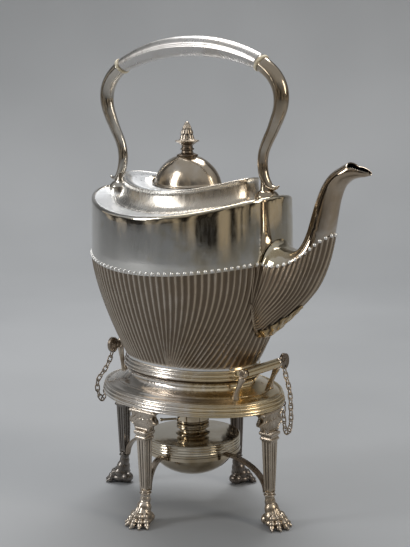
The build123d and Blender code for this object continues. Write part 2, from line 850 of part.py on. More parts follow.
lug_gap = 0.4
for place, x, z, barrel_half, way in (
    ("front", front_pin_x, front_pin_z, front_barrel_half, 1),
    ("rear", rear_pin_x, rear_pin_z, rear_barrel_half, -1),
):
    inward = -1 if x > 0 else 1
    lug_middle = barrel_half + lug_gap + lug_thickness / 2
    lug_outer = barrel_half + lug_gap + lug_thickness
    with BuildPart() as lugs:
        for y in (lug_middle, -lug_middle):
            outline_block(
                [
                    (x - inward * lug_radius, z),
                    (x + inward * lug_radius, z),
                    (x + inward * (lug_foot_width + 2), collar_base_z - 6),
                    (x + inward * 1.0, collar_base_z - 6),
                ],
                lug_thickness / 2,
                y,
            )
            y_rod(x, z, y - lug_thickness / 2, y + lug_thickness / 2, lug_radius)
        y_rod(x, z, *sorted((-way * lug_outer, -way * (lug_outer + 2.4))), 3.4)
        collar_form(mode=Mode.SUBTRACT)
        plate_form(mode=Mode.SUBTRACT)
        oval_block(plate_bottom_z - 10, plate_bottom_z, cutter_reach, cutter_reach, mode=Mode.SUBTRACT)
        tip = -way * lug_outer
        head = way * (lug_outer + 1)
        y_rod(x, z, min(tip, head), max(tip, head), pin_radius + running_gap, Mode.SUBTRACT)
    lugs.part.label = f"{place}_lugs"
    export_step(lugs.part, f"parts/{place}_lugs.step")

    with BuildPart() as hinge_pin:
        tip = -way * (lug_outer - pin_gap)
        collar_start = way * (lug_outer + pin_gap)
        collar_end = way * (lug_outer + knob_eye_offset - knob_length / 2 + 0.5)
        y_rod(x, z, min(tip, collar_end), max(tip, collar_end), pin_radius)
        y_rod(x, z, min(collar_start, collar_end), max(collar_start, collar_end), 3.2)
        knob_y = way * (lug_outer + knob_eye_offset)
        with BuildSketch(Plane.YZ.offset(x - knob_thickness / 2)) as knob:
            with Locations((knob_y, z)):
                Ellipse(knob_half_height, knob_length / 2, rotation=90)
            with Locations((knob_y, z - knob_eye_drop)):
                Circle(knob_eye_radius, mode=Mode.SUBTRACT)
        extrude(knob.sketch, amount=knob_thickness)
    hinge_pin.part.label = f"{place}_pin"
    export_step(hinge_pin.part, f"parts/{place}_pin.step")


# Legs: carved head, capital and fluted shaft, ankle ring, paw
def leg_planes(angle, reach):
    """Outward and sideways directions of a leg, and the point under its middle."""
    outward = Vector(cos(radians(angle)), sin(radians(angle)), 0)
    sideways = Vector(-sin(radians(angle)), cos(radians(angle)), 0)
    return outward, sideways, outward * reach


def square(plane, side):
    """A square face on a plane."""
    with BuildSketch(plane) as face:
        Rectangle(side, side)
    return face.sketch


head_bottom_z = border_bottom_z - head_height
capital_bottom_z = head_bottom_z - capital_height
shaft_bottom_z = ankle_z + ankle_ring_height
ring_middle_z = ring_top_z - ring_height / 2
for place, angle, reach in (
    ("front", 0, leg_reach_x),
    ("rear", 180, leg_reach_x),
    ("left", -90, leg_reach_y),
    ("right", 90, leg_reach_y),
):
    outward, sideways, middle = leg_planes(angle, reach)

    with BuildPart() as leg_head:
        inner_face = middle - outward * (head_thickness / 2)
        with BuildSketch(Plane(origin=inner_face, x_dir=sideways, z_dir=outward)):
            with BuildLine():
                half_top = head_width / 2
                half_bottom = head_bottom_width / 2
                Polyline((-half_top, border_bottom_z), (half_top, border_bottom_z))
                for way in (1, -1):
                    Polyline(
                        (way * half_top, border_bottom_z),
                        (way * half_top, border_bottom_z - 2),
                        (way * (half_top - 2.5), border_bottom_z - 4.5),
                        (way * half_top, border_bottom_z - 8.5),
                        (way * (half_top - 1), border_bottom_z - 10.5),
                        (way * half_bottom, head_bottom_z),
                    )
                Line((half_bottom, head_bottom_z), (-half_bottom, head_bottom_z))
            make_face()
        extrude(amount=head_thickness)
    leg_head.part.label = f"leg_head_{place}"
    export_step(leg_head.part, f"parts/leg_head_{place}.step")

    with BuildPart() as leg_shaft:
        capital_bottom = middle + Vector(0, 0, capital_bottom_z)
        with BuildSketch(Plane(origin=capital_bottom, x_dir=outward, z_dir=(0, 0, 1))):
            Rectangle(capital_side, capital_side)
        extrude(amount=capital_height)
        top = Plane(origin=middle + Vector(0, 0, capital_bottom_z), x_dir=outward, z_dir=(0, 0, 1))
        bottom = Plane(origin=middle + Vector(0, 0, shaft_bottom_z), x_dir=outward, z_dir=(0, 0, 1))
        loft([square(bottom, shaft_bottom_side), square(top, shaft_top_side)])
        with BuildSketch(Plane(origin=middle + Vector(0, 0, ankle_z), x_dir=outward, z_dir=(0, 0, 1))):
            Circle(ankle_radius)
        extrude(amount=ankle_ring_height)
    leg_shaft.part.label = f"leg_shaft_{place}"
    export_step(leg_shaft.part, f"parts/leg_shaft_{place}.step")

    with BuildPart() as leg_paw:
        sections = []
        for share, forward, length, width in (
            (0.0, 1.0, 0.95, 0.95),
            (0.28, 0.95, 0.9, 0.95),
            (0.6, 0.5, 0.55, 0.66),
            (1.0, 0.0, ankle_radius / paw_length, ankle_radius / paw_width),
        ):
            origin = middle + outward * (paw_forward * forward) + Vector(0, 0, ankle_z * share)
            with BuildSketch(Plane(origin=origin, x_dir=outward, z_dir=(0, 0, 1))) as section:
                Ellipse(paw_length * length, paw_width * width)
            sections.append(section.sketch)
        loft(sections)
        for toe in range(toe_count):
            swing = radians((toe - (toe_count - 1) / 2) * toe_spread)
            heel = middle + outward * paw_forward
            place_toe = (
                heel
                + outward * (paw_length * 0.8 * cos(swing))
                + sideways * (paw_width * 0.9 * sin(swing))
                + Vector(0, 0, toe_radius * 0.75)
            )
            with Locations(place_toe):
                Sphere(toe_radius)
        oval_block(-20, 0, cutter_reach, cutter_reach, mode=Mode.SUBTRACT)
    leg_paw.part.label = f"leg_paw_{place}"
    export_step(leg_paw.part, f"parts/leg_paw_{place}.step")

    with BuildPart() as stretcher:
        with BuildSketch(Plane(origin=(0, 0, 0), x_dir=outward, z_dir=outward.cross(Vector(0, 0, 1)))):
            with BuildLine():
                top_z = ring_middle_z + stretcher_thickness / 2
                low_z = ring_middle_z - stretcher_thickness / 2
                start = ring_outer_radius - 1
                end = reach - shaft_bottom_side / 2
                inner_end = end - stretcher_thickness
                bend = 0.55
                rise = top_z - stretcher_foot_z
                Bezier(
                    (start, top_z),
                    (start + bend * (end - start), top_z),
                    (end, stretcher_foot_z + bend * rise),
                    (end, stretcher_foot_z),
                )
                Line((end, stretcher_foot_z), (inner_end, stretcher_foot_z))
                Bezier(
                    (inner_end, stretcher_foot_z),
                    (inner_end, stretcher_foot_z + bend * (rise - stretcher_thickness)),
                    (start + bend * (inner_end - start), low_z),
                    (start, low_z),
                )
                Line((start, low_z), (start, top_z))
            make_face()
        extrude(amount=stretcher_width / 2, both=True)
        with Locations((0, 0, ring_middle_z)):
            Cylinder(ring_outer_radius, 20, mode=Mode.SUBTRACT)
        add(leg_shaft.part, mode=Mode.SUBTRACT)
    stretcher.part.label = f"stretcher_{place}"
    export_step(stretcher.part, f"parts/stretcher_{place}.step")

with BuildPart() as burner_ring:
    with BuildSketch(Plane.XY.offset(ring_top_z - ring_height)):
        Circle(ring_outer_radius)
        Circle(ring_inner_radius, mode=Mode.SUBTRACT)
    extrude(amount=ring_height)
burner_ring.part.label = "burner_ring"
export_step(burner_ring.part, "parts/burner_ring.step")

# Burner: bowl, banded top, neck, turning sleeve with two arms, wick tube and wick
flange_z = ring_top_z + rest_gap
with BuildPart() as burner_bowl:
    with BuildSketch(Plane.XZ):
        with BuildLine():
            depth = flange_z - bowl_bottom_z
            inner = bowl_radius - bowl_wall
            EllipticalCenterArc((0, flange_z), bowl_radius, depth, 270, arc_size=90)
            Polyline(
                (bowl_radius, flange_z),
                (burner_radius, flange_z),
                (burner_radius, flange_z + burner_flange),
                (inner, flange_z + burner_flange),
                (inner, flange_z),
            )
            EllipticalCenterArc((0, flange_z), inner, depth - bowl_wall, 270, arc_size=90)
            Line((0, bowl_bottom_z), (0, bowl_bottom_z + bowl_wall))
        make_face()
    revolve(axis=Axis.Z)
burner_bowl.part.label = "burner_bowl"
export_step(burner_bowl.part, "parts/burner_bowl.step")

band_bottom_z = flange_z + burner_flange
neck_seat_z = burner_top_z + burner_top_rise
with BuildPart() as burner_top:
    with BuildSketch(Plane.XZ):
        with BuildLine():
            Polyline(
                (burner_radius, band_bottom_z),
                (burner_radius, burner_top_z),
                (neck_radius, neck_seat_z),
                (neck_tube_radius - 2.4, neck_seat_z),
                (neck_tube_radius - 2.4, neck_seat_z - wall),
                (neck_radius, neck_seat_z - wall),
                (burner_radius - wall, burner_top_z - wall),
                (burner_radius - wall, band_bottom_z),
                close=True,
            )
        make_face()
    revolve(axis=Axis.Z)
burner_top.part.label = "burner_top"
export_step(burner_top.part, "parts/burner_top.step")

flange_low_z = neck_seat_z + neck_waist_height
flange_high_z = flange_low_z + neck_flange_height
with BuildPart() as burner_neck:
    with BuildSketch(Plane.XZ):
        with BuildLine():
            Polyline(
                (neck_tube_radius - 2.4, neck_seat_z - 5),
                (neck_tube_radius - 2.4, neck_seat_z),
                (neck_radius + 1, neck_seat_z),
                (neck_radius, neck_seat_z + 1.2),
                (neck_radius, flange_low_z - 1),
                (neck_flange_radius, flange_low_z),
                (neck_flange_radius, flange_high_z),
                (neck_tube_radius, flange_high_z),
                (neck_tube_radius, neck_top_z),
                (wick_tube_radius, neck_top_z),
                (wick_tube_radius, neck_seat_z - 5),
                close=True,
            )
        make_face()
    revolve(axis=Axis.Z)
burner_neck.part.label = "burner_neck"
export_step(burner_neck.part, "parts/burner_neck.step")

sleeve_low_z = flange_high_z + running_gap
with BuildPart() as regulator_sleeve:
    with BuildSketch(Plane.XY.offset(sleeve_low_z)):
        Circle(neck_tube_radius + sleeve_wall)
        Circle(neck_tube_radius + running_gap, mode=Mode.SUBTRACT)
    extrude(amount=sleeve_height)
regulator_sleeve.part.label = "regulator_sleeve"
export_step(regulator_sleeve.part, "parts/regulator_sleeve.step")

with BuildPart() as regulator_arms:
    arm_z = sleeve_low_z + 2.4
    for way in (1, -1):
        direction = Vector(cos(radians(regulator_arm_angle)), sin(radians(regulator_arm_angle)), 0) * way
        start = direction * (neck_tube_radius + 1.5) + Vector(0, 0, arm_z)
        with BuildSketch(Plane(origin=start, z_dir=direction)) as rod:
            Circle(regulator_arm_radius)
        extrude(rod.sketch, amount=regulator_arm_reach - neck_tube_radius - 1.5)
        with Locations(direction * regulator_arm_reach + Vector(0, 0, arm_z)):
            Sphere(regulator_arm_radius * 1.5)
    with Locations((0, 0, arm_z)):
        Cylinder(neck_tube_radius + sleeve_wall, 10, mode=Mode.SUBTRACT)
regulator_arms.part.label = "regulator_arms"
export_step(regulator_arms.part, "parts/regulator_arms.step")

with BuildPart() as wick_tube:
    with BuildSketch(Plane.XY.offset(wick_tube_bottom_z)):
        Circle(wick_tube_radius)
        Circle(wick_tube_bore, mode=Mode.SUBTRACT)
    extrude(amount=wick_tube_top_z - wick_tube_bottom_z)
wick_tube.part.label = "wick_tube"
export_step(wick_tube.part, "parts/wick_tube.step")

with BuildPart() as wick:
    with Locations((0, 0, wick_bottom_z)):
        Cylinder(wick_radius, wick_top_z - wick_bottom_z, align=(Align.CENTER, Align.CENTER, Align.MIN))
wick.part.label = "wick"
export_step(wick.part, "parts/wick.step")

# Chains: an eyelet under the border, links, and a jump ring through the eye of each knob
with BuildPart() as chain_eyelets:
    for x, y in ((eyelet_x, eyelet_y), (-eyelet_x, -eyelet_y)):
        with Locations(Location((x, y, border_bottom_z - eyelet_drop), (90, 0, 0))):
            Torus(eyelet_radius, eyelet_wire)
        with Locations((x, y, border_bottom_z)):
            Cylinder(0.7, 1, align=(Align.CENTER, Align.CENTER, Align.MAX))
chain_eyelets.part.label = "chain_eyelets"
export_step(chain_eyelets.part, "parts/chain_eyelets.step")

link_overlap = link_wire + link_slack / 2
link_end = link_pitch / 2 + link_overlap - link_half_width
with BuildPart() as link:
    with BuildLine() as loop:
        Line((0, -link_half_width), (link_end, -link_half_width))
        ThreePointArc(
            (link_end, -link_half_width),
            (link_end + link_half_width, 0),
            (link_end, link_half_width),
        )
        Line((link_end, link_half_width), (-link_end, link_half_width))
        ThreePointArc(
            (-link_end, link_half_width),
            (-link_end - link_half_width, 0),
            (-link_end, -link_half_width),
        )
        Line((-link_end, -link_half_width), (0, -link_half_width))
    with BuildSketch(Plane(origin=(0, -link_half_width, 0), z_dir=(1, 0, 0))) as wire:
        Circle(link_wire)
    sweep(wire.sketch, path=loop.wire())


def chain_places(points):
    """Where the links sit along a curve, an odd number, every second one turned a quarter."""
    with BuildLine() as path:
        Spline(*points)
    curve = path.edge()
    count = 2 * ceil((curve.length / link_pitch - 1) / 2) + 1
    joints = [curve.position_at(k / count) for k in range(count + 1)]
    places = []
    for k in range(count):
        along = joints[k + 1] - joints[k]
        across = Vector(0, 1, 0).cross(along).normalized()
        normal = along.cross(across) if k % 2 else across
        middle = (joints[k] + joints[k + 1]) * 0.5
        places.append(Plane(origin=middle, x_dir=along, z_dir=normal).location)
    return places


for place, way, pin_x, pin_z, barrel_half, shape in (
    ("front", 1, front_pin_x, front_pin_z, front_barrel_half, front_chain_shape),
    ("rear", -1, rear_pin_x, rear_pin_z, rear_barrel_half, rear_chain_shape),
):
    eye_y = way * (barrel_half + lug_gap + lug_thickness + knob_eye_offset)
    eye_z = pin_z - knob_eye_drop
    ring_centre_z = eye_z + 0.45 - jump_ring_radius
    start = (pin_x, eye_y, ring_centre_z - jump_ring_radius + link_wire)
    end = (way * eyelet_x, way * eyelet_y, border_bottom_z - eyelet_drop - eyelet_radius + eyelet_wire)
    with BuildPart() as chain:
        with Locations(Location((pin_x, eye_y, ring_centre_z), (90, 0, 0))):
            Torus(jump_ring_radius, link_wire)
        with Locations(*chain_places([start, *shape, end])):
            add(link.part)
    chain.part.label = f"{place}_chain"
    export_step(chain.part, f"parts/{place}_chain.step")

print("pieces written", len(os.listdir("parts")))
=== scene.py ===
import json
from math import cos, pi, radians, sin

import bmesh
import bpy
import numpy as np
from mathutils import Matrix, Vector

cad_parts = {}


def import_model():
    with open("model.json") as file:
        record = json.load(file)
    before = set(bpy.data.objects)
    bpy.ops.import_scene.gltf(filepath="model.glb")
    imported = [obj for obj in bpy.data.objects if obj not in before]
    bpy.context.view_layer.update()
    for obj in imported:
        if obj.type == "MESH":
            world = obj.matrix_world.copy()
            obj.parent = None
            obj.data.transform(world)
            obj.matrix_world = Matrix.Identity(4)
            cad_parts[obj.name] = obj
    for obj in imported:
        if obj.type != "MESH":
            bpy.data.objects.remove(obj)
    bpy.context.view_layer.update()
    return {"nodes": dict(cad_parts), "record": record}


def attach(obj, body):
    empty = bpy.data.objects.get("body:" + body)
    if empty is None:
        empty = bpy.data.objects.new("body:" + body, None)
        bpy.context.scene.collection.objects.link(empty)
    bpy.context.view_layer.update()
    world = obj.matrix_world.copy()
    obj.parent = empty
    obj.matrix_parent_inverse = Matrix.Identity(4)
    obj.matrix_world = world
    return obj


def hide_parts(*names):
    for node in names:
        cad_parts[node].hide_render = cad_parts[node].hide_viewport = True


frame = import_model()
MM = 0.001

# Shapes shared with the CAD model, in millimetres
FOOT_Z, FOOT_A, FOOT_B = 125.0, 60.0, 43.0
BELLY_Z, BELLY_A, BELLY_B = 206.0, 88.0, 67.3
RIM_Z, RIM_A, RIM_B = 270.0, 86.6, 65.9
SHOULDER_Z, SHOULDER_K = 242.6, 14.3 / 86.6**2
DECK_Z, DECK_K = 259.5, 10.1 / 61.6**2
BEAD_Z, BEAD_K = 200.5, 9.3 / 88.0**2
LID_X = -2.0
GRIP_END_X, GRIP_END_Z, GRIP_TOP_Z = 70.06, 354.61, 368.0
LEG_REACH = {"front": (0, 78.2), "left": (-90, 57.1), "rear": (180, 78.2), "right": (90, 57.1)}

# Fluting of the bowl and of the spout, and the beads above it
FLUTES = 100
SPOUT_FLUTES = 15
STEPS_PER_FLUTE = 8
HALF_FLUTE = STEPS_PER_FLUTE // 2
ROWS = 84
FLUTE_DEPTH = 1.05
BEAD_RADIUS = 1.35
SPOUT_BEAD_RADIUS = 1.45

# Spout in its plane of symmetry: back X and Z, keel X and Z, half width
SPOUT = np.array(
    [
        (82.0, 225.4, 59.0, 139.0, 12.0), (89.5, 220.9, 77.5, 151.6, 20.6), (96.5, 218.5, 92.0, 163.8, 21.2),
        (103.0, 218.2, 108.0, 178.0, 18.6), (108.5, 220.8, 119.6, 191.3, 15.4), (112.6, 227.0, 128.0, 207.0, 12.8),
        (115.6, 236.0, 133.3, 222.0, 10.7), (118.6, 246.5, 137.5, 242.0, 9.2), (122.0, 256.6, 140.3, 255.5, 8.4),
        (126.8, 267.0, 143.8, 265.4, 8.2), (133.2, 275.2, 147.6, 269.8, 8.5), (141.0, 280.4, 152.0, 272.4, 8.8),
        (149.0, 284.2, 157.0, 273.8, 8.2), (156.5, 284.0, 161.8, 274.6, 6.4), (164.6, 280.6, 166.0, 276.0, 2.2),
    ]
)
SPOUT_SAMPLES = 420
PLACES_AT_ONCE = 4000
KEEL_STATION = 6.5
MOUTH_STATION = 9.0
HOOD_STATION = 12.0
SPOUT_BORE = 0.86
SQUARE_BACK = 1.0
BLEND = 5.0
BEADS_ON_SPOUT = [
    (86.5, 208.3), (91.5, 207.9), (99.5, 208.5), (106.0, 210.6), (111.5, 213.4), (120.5, 220.0), (129.0, 227.5)
]

# Seam between bowl and spout: angle round the bowl, in degrees, and height
SEAM = [
    (20.7, 200.4), (20.8, 191.1), (19.6, 178.4), (17.7, 169.4), (13.5, 160.2), (7.2, 153.0), (0.0, 150.2)
]
SEAM_CORNER = 2


# Curves and surfaces
def unit(value):
    """A value held between 0 and 1."""
    return np.clip(value, 0, 1)


def bell(value):
    """1 at zero, falling away on both sides."""
    return np.exp(-(value**2))


def spline_at(points, at):
    """Points of a smooth curve through rows of numbers, at places counted in rows."""
    points = np.asarray(points, float)
    at = np.clip(np.asarray(at, float), 0, len(points) - 1)
    row = np.minimum(at.astype(int), len(points) - 2)
    t = (at - row)[..., None]
    ends = np.vstack([2 * points[0] - points[1], points, 2 * points[-1] - points[-2]])
    p0, p1, p2, p3 = (ends[row + k] for k in range(4))
    rise = (p2 - p0) * t + (2 * p0 - 5 * p1 + 4 * p2 - p3) * t**2 + (3 * p1 - p0 - 3 * p2 + p3) * t**3
    return 0.5 * (2 * p1 + rise)


def evenly(points, count, length_of=None):
    """The same curve at even steps along its length, or along the length of another one."""
    points = np.asarray(points, float)
    measured = points if length_of is None else np.asarray(length_of, float)
    length = np.concatenate([[0], np.cumsum(np.linalg.norm(np.diff(measured, axis=0), axis=1))])
    at = np.linspace(0, length[-1], count)
    return np.stack([np.interp(at, length, points[:, k]) for k in range(points.shape[1])], 1)


def curve_through(points, count):
    """A smooth curve through points, at even steps."""
    return evenly(spline_at(points, np.linspace(0, len(points) - 1, 24 * len(points))), count)


def body_axes(z):
    """Half length and half width of the kettle at a height."""
    low = 1 - (1 - unit((z - FOOT_Z) / (BELLY_Z - FOOT_Z))) ** 1.5
    high = unit((z - BELLY_Z) / (RIM_Z - BELLY_Z))
    a = FOOT_A + low * (BELLY_A - FOOT_A) + high * (RIM_A - BELLY_A)
    b = FOOT_B + low * (BELLY_B - FOOT_B) + high * (RIM_B - BELLY_B)
    return a, b


def smooth_max(first, second, reach):
    """The larger of two values, rounded where they cross."""
    blend = np.clip(reach - np.abs(first - second), 0, None) / reach
    return np.maximum(first, second) + blend**2 * reach / 4


def body_side(x, z):
    """How far the bowl reaches to one side at a place in the plane of symmetry."""
    a, b = body_axes(z)
    return b * np.sqrt(np.clip(1 - (x / a) ** 2, 0, None))


def spout_place(x, z):
    """Where places in the plane of symmetry lie in the spout.

    Gives whether each was found, its station, its share of the way from back to keel, and the half width.
    """
    rows = spline_at(SPOUT, np.linspace(0, len(SPOUT) - 1, SPOUT_SAMPLES + 1))
    flat = np.stack([x.ravel(), z.ravel()], 1)
    result = np.zeros((len(flat), 4))
    back, across = rows[:, :2], rows[:, 2:4] - rows[:, :2]
    for start in range(0, len(flat), PLACES_AT_ONCE):
        part = flat[start : start + PLACES_AT_ONCE, None, :] - back[None]
        cross = across[:, 0] * part[..., 1] - across[:, 1] * part[..., 0]
        change = cross[:, :-1] * cross[:, 1:] <= 0
        row = change.argmax(1)
        pick = np.arange(len(row))
        share = cross[pick, row] / (cross[pick, row] - cross[pick, row + 1] + 1e-12)
        along = (part * across).sum(2) / (across**2).sum(1)
        f = along[pick, row] * (1 - share) + along[pick, row + 1] * share
        half = rows[row, 4] * (1 - share) + rows[row + 1, 4] * share
        station = (row + share) * (len(SPOUT) - 1) / SPOUT_SAMPLES
        result[start : start + PLACES_AT_ONCE] = np.stack([change.any(1), station, f, half], 1)
    return [column.reshape(x.shape) for column in result.T]


def spout_power(station, f):
    """How square a section is: the back of the spout is flatter near its root."""
    return 2.0 + np.where(f < 0.5, SQUARE_BACK * unit((6.0 - station) / 4.0), 0.0)


def half_section(station, f, half):
    """How far a section of the spout reaches to one side, at a share of the way from back to keel."""
    power = spout_power(station, f)
    return half * np.clip(1 - np.abs(2 * f - 1) ** power, 0, None) ** (1 / power)


def spout_side(x, z):
    """How far the spout reaches to one side at a place in the plane of symmetry."""
    found, station, f, half = spout_place(*np.broadcast_arrays(x, z))
    return np.where(found > 0, half_section(station, f, half), 0)


def spout_outside(points):
    """A measure that is negative inside the spout and positive outside."""
    found, station, f, half = spout_place(points[..., 0], points[..., 2])
    power = spout_power(station, f)
    value = (np.abs(2 * f - 1) ** power + (np.abs(points[..., 1]) / (half + 1e-9)) ** power) ** (1 / power) - 1
    return np.where(found > 0, value, 5.0)


def bowl_outside(points):
    """A measure that is negative inside the bowl and band and positive outside."""
    a, b = body_axes(points[..., 2])
    return np.hypot(points[..., 0] / a, points[..., 1] / b) - 1


def distance_by(measure, points, nudge=0.2):
    """Distance in millimetres and outward direction from a measure that is zero on a surface."""
    value = measure(points)
    steps = nudge * np.eye(3)
    slope = np.stack([(measure(points + step) - measure(points - step)) / (2 * nudge) for step in steps], -1)
    size = np.linalg.norm(slope, axis=-1) + 1e-9
    return value / size, slope / size[..., None]


def onto_both(points, reach, sink):
    """Points moved onto bowl and spout melted together, a little below where the bowl alone shows."""
    for _ in range(4):
        to_bowl, bowl_way = distance_by(bowl_outside, points)
        to_spout, spout_way = distance_by(spout_outside, points)
        blend = np.clip(reach - np.abs(to_bowl - to_spout), 0, None) / reach
        share = unit(0.5 + (to_spout - to_bowl) / (2 * reach))
        both = np.minimum(to_bowl, to_spout) - blend**2 * reach / 4 + sink * share
        way = share[..., None] * bowl_way + (1 - share[..., None]) * spout_way
        way /= np.linalg.norm(way, axis=-1)[..., None] + 1e-9
        points = points - way * np.clip(both, -6, 6)[..., None]
    return points


def kettle_side(x, z):
    """How far bowl and spout together reach to one side, with a soft hollow where they meet."""
    return smooth_max(body_side(x, z), spout_side(x, z), BLEND)


def normals_of(rings, closed_columns=True):
    """Directions square to a surface of rings, pointing away from its middle."""
    if closed_columns:
        padded = np.concatenate([rings[:, -1:], rings, rings[:, :1]], 1)
        along = (padded[:, 2:] - padded[:, :-2]) / 2
    else:
        along = np.gradient(rings, axis=1)
    normal = np.cross(along, np.gradient(rings, axis=0))
    normal /= np.linalg.norm(normal, axis=2)[..., None] + 1e-12
    outward = rings - rings.mean((0, 1))
    return normal * np.sign((normal * outward).sum())


# Meshes
def linked(name, data):
    """An object in the scene that holds the data."""
    obj = bpy.data.objects.new(name, data)
    bpy.context.scene.collection.objects.link(obj)
    return obj


def settled(work, mesh):
    """A mesh that takes the shape of a bmesh, which is then freed."""
    work.to_mesh(mesh)
    work.free()
    mesh.shade_smooth()
    return mesh


def mark(mesh, depth):
    """Writes how deep each point lies in a hollow, which the materials read."""
    layer = mesh.attributes.new("cavity", "FLOAT", "POINT")
    layer.data.foreach_set("value", np.asarray(depth, np.float32))


def mesh_object(name, points, faces, cavity=None):
    """An object from points in millimetres, with a value per point for how deep it lies in a hollow."""
    mesh = bpy.data.meshes.new(name)
    mesh.from_pydata([tuple(p) for p in np.asarray(points) * MM], [], faces)
    if cavity is not None:
        mark(mesh, cavity)
    work = bmesh.new()
    work.from_mesh(mesh)
    bmesh.ops.recalc_face_normals(work, faces=work.faces)
    return linked(name, settled(work, mesh))


def grid_faces(rows, columns, close_rows=False, close_columns=True):
    """Quads of a grid of points, wrapping round where asked."""
    faces = []
    for i in range(rows if close_rows else rows - 1):
        low, high = i * columns, ((i + 1) % rows) * columns
        for j in range(columns if close_columns else columns - 1):
            k = (j + 1) % columns
            faces.append((low + j, low + k, high + k, high + j))
    return faces


def grid(name, rings, close_rows=False, close_columns=True, caps=False, cavity=None):
    """A surface through rings of points, closed at its ends where asked."""
    rings = np.asarray(rings, float)
    rows, columns = rings.shape[:2]
    faces = grid_faces(rows, columns, close_rows, close_columns)
    if caps:
        faces.append(tuple(range(columns)))
        faces.append(tuple((rows - 1) * columns + j for j in reversed(range(columns))))
    flat = None if cavity is None else np.asarray(cavity).reshape(-1)
    return mesh_object(name, rings.reshape(-1, 3), faces, flat)


def circle(count):
    """Angles once round."""
    return np.linspace(0, 2 * pi, count, endpoint=False)


def oval(t, a, b, z, x0=0.0):
    """Points at angles round an oval."""
    return np.stack(np.broadcast_arrays(x0 + a * np.cos(t), b * np.sin(t), z), -1)


def oval_ring(name, stations, count=None, columns=240):
    """A ring of metal from the closed outline of its section.

    A station is half length, half width, height, saddle factor and middle X; the last two may be left out.
    """
    stations = [tuple(s) + (0.0,) * (5 - len(s)) for s in stations]
    if count:
        stations = curve_through([*stations, stations[0]], count)[:-1]
    t = circle(columns)
    rings = [oval(t, a, b, z + k * (x0 + a * np.cos(t)) ** 2, x0) for a, b, z, k, x0 in stations]
    return grid(name, rings, close_rows=True)


def turned(name, profile, count, columns=96, lobes=None, x0=0.0):
    """A turned piece from radius and height pairs; lobes gives a radius change by angle and height."""
    profile = curve_through(profile, count)
    t = circle(columns)
    changes = [lobes(t, z) if lobes else 0 * t for _, z in profile]
    rings = [oval(t, r + change, r + change, z, x0) for (r, z), change in zip(profile, changes)]
    return grid(name, rings, cavity=unit(-np.array(changes)) if lobes else None)


def swept_bar(name, path, section_at):
    """A bar along a path in the plane of symmetry; section_at gives sideways and upward offsets."""
    path = np.asarray(path)
    step = np.gradient(path, axis=0)
    step /= np.linalg.norm(step, axis=1)[:, None]
    rings = []
    for i, (point, along) in enumerate(zip(path, step)):
        w, h = section_at(i / (len(path) - 1), i)
        rings.append(np.stack([point[0] - along[1] * h, w, point[1] + along[0] * h], 1))
    return grid(name, rings, caps=True)


def balls(name, middles, radius, segments=14, levels=9):
    """Many small balls as one piece."""
    work = bmesh.new()
    for middle in middles:
        place = Matrix.Translation(Vector(middle) * MM)
        bmesh.ops.create_uvsphere(work, u_segments=segments, v_segments=levels, radius=radius * MM, matrix=place)
    return linked(name, settled(work, bpy.data.meshes.new(name)))


def fused(name, lumps, voxel, rounds):
    """Lumps of middle, radii and turn melted into one skin and smoothed."""
    work = bmesh.new()
    for middle, radii, turn in lumps:
        place = Matrix.Translation(Vector(middle) * MM) @ turn.to_4x4() @ Matrix.Diagonal((*radii, 1))
        bmesh.ops.create_icosphere(work, subdivisions=3, radius=MM, matrix=place)
    obj = linked(name, settled(work, bpy.data.meshes.new(name)))
    skin = obj.modifiers.new("skin", "REMESH")
    skin.mode = "VOXEL"
    skin.voxel_size = voxel * MM
    smoothing = obj.modifiers.new("smooth", "SMOOTH")
    smoothing.iterations = rounds
    smoothing.factor = 0.5
    ready = bpy.data.meshes.new_from_object(obj.evaluated_get(bpy.context.evaluated_depsgraph_get()))
    bpy.data.objects.remove(obj)
    ready.name = name
    return ready


def read_out(items, key, width, kind=float):
    """A value of every item, as rows of an array."""
    values = np.empty(len(items) * width, kind)
    items.foreach_get(key, values)
    return values.reshape(-1, width)


def mark_hollows(mesh, reach, rounds=6):
    """Marks how far each point lies below the points around it; at reach, the hollow counts as full."""
    points = read_out(mesh.vertices, "co", 3) / MM
    normals = read_out(mesh.vertex_normals, "vector", 3)
    edges = read_out(mesh.edges, "vertices", 2, int)
    around = points.copy()
    for _ in range(rounds):
        total, number = np.zeros_like(around), np.zeros(len(points))
        for a, b in ((0, 1), (1, 0)):
            np.add.at(total, edges[:, a], around[edges[:, b]])
            np.add.at(number, edges[:, a], 1)
        around = 0.3 * around + 0.7 * total / np.maximum(number, 1)[:, None]
    mark(mesh, np.clip(((around - points) * normals).sum(1) / reach, -0.5, 1))


def coat(obj, material):
    """Gives an object one material."""
    obj.data.materials.clear()
    obj.data.materials.append(material)


def finish_piece(obj, body, material, *nodes, slot=None):
    """Gives a piece its material, its body and the CAD nodes that it stands for; slot is not used."""
    coat(obj, material)
    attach(obj, body)
    if nodes:
        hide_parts(*nodes)


# Materials
def start_material(name):
    """A principled material with no other nodes."""
    material = bpy.data.materials.new(name)
    material.use_nodes = True
    tree = material.node_tree
    tree.nodes.clear()
    out = tree.nodes.new("ShaderNodeOutputMaterial")
    shader = tree.nodes.new("ShaderNodeBsdfPrincipled")
    tree.links.new(shader.outputs[0], out.inputs[0])
    return material, tree, shader


def put(tree, value, socket):
    """A number, a vector, a colour or another socket into an input."""
    if isinstance(value, bpy.types.NodeSocket):
        tree.links.new(value, socket)
    elif socket.type == "RGBA":
        socket.default_value = (*value, 1)
    else:
        socket.default_value = value


def add(tree, kind, inputs=None, **settings):
    """A shader node with its settings and inputs."""
    node = tree.nodes.new("ShaderNode" + kind)
    for name, value in settings.items():
        setattr(node, name, value)
    for key, value in (inputs or {}).items():
        put(tree, value, node.inputs[key])
    return node


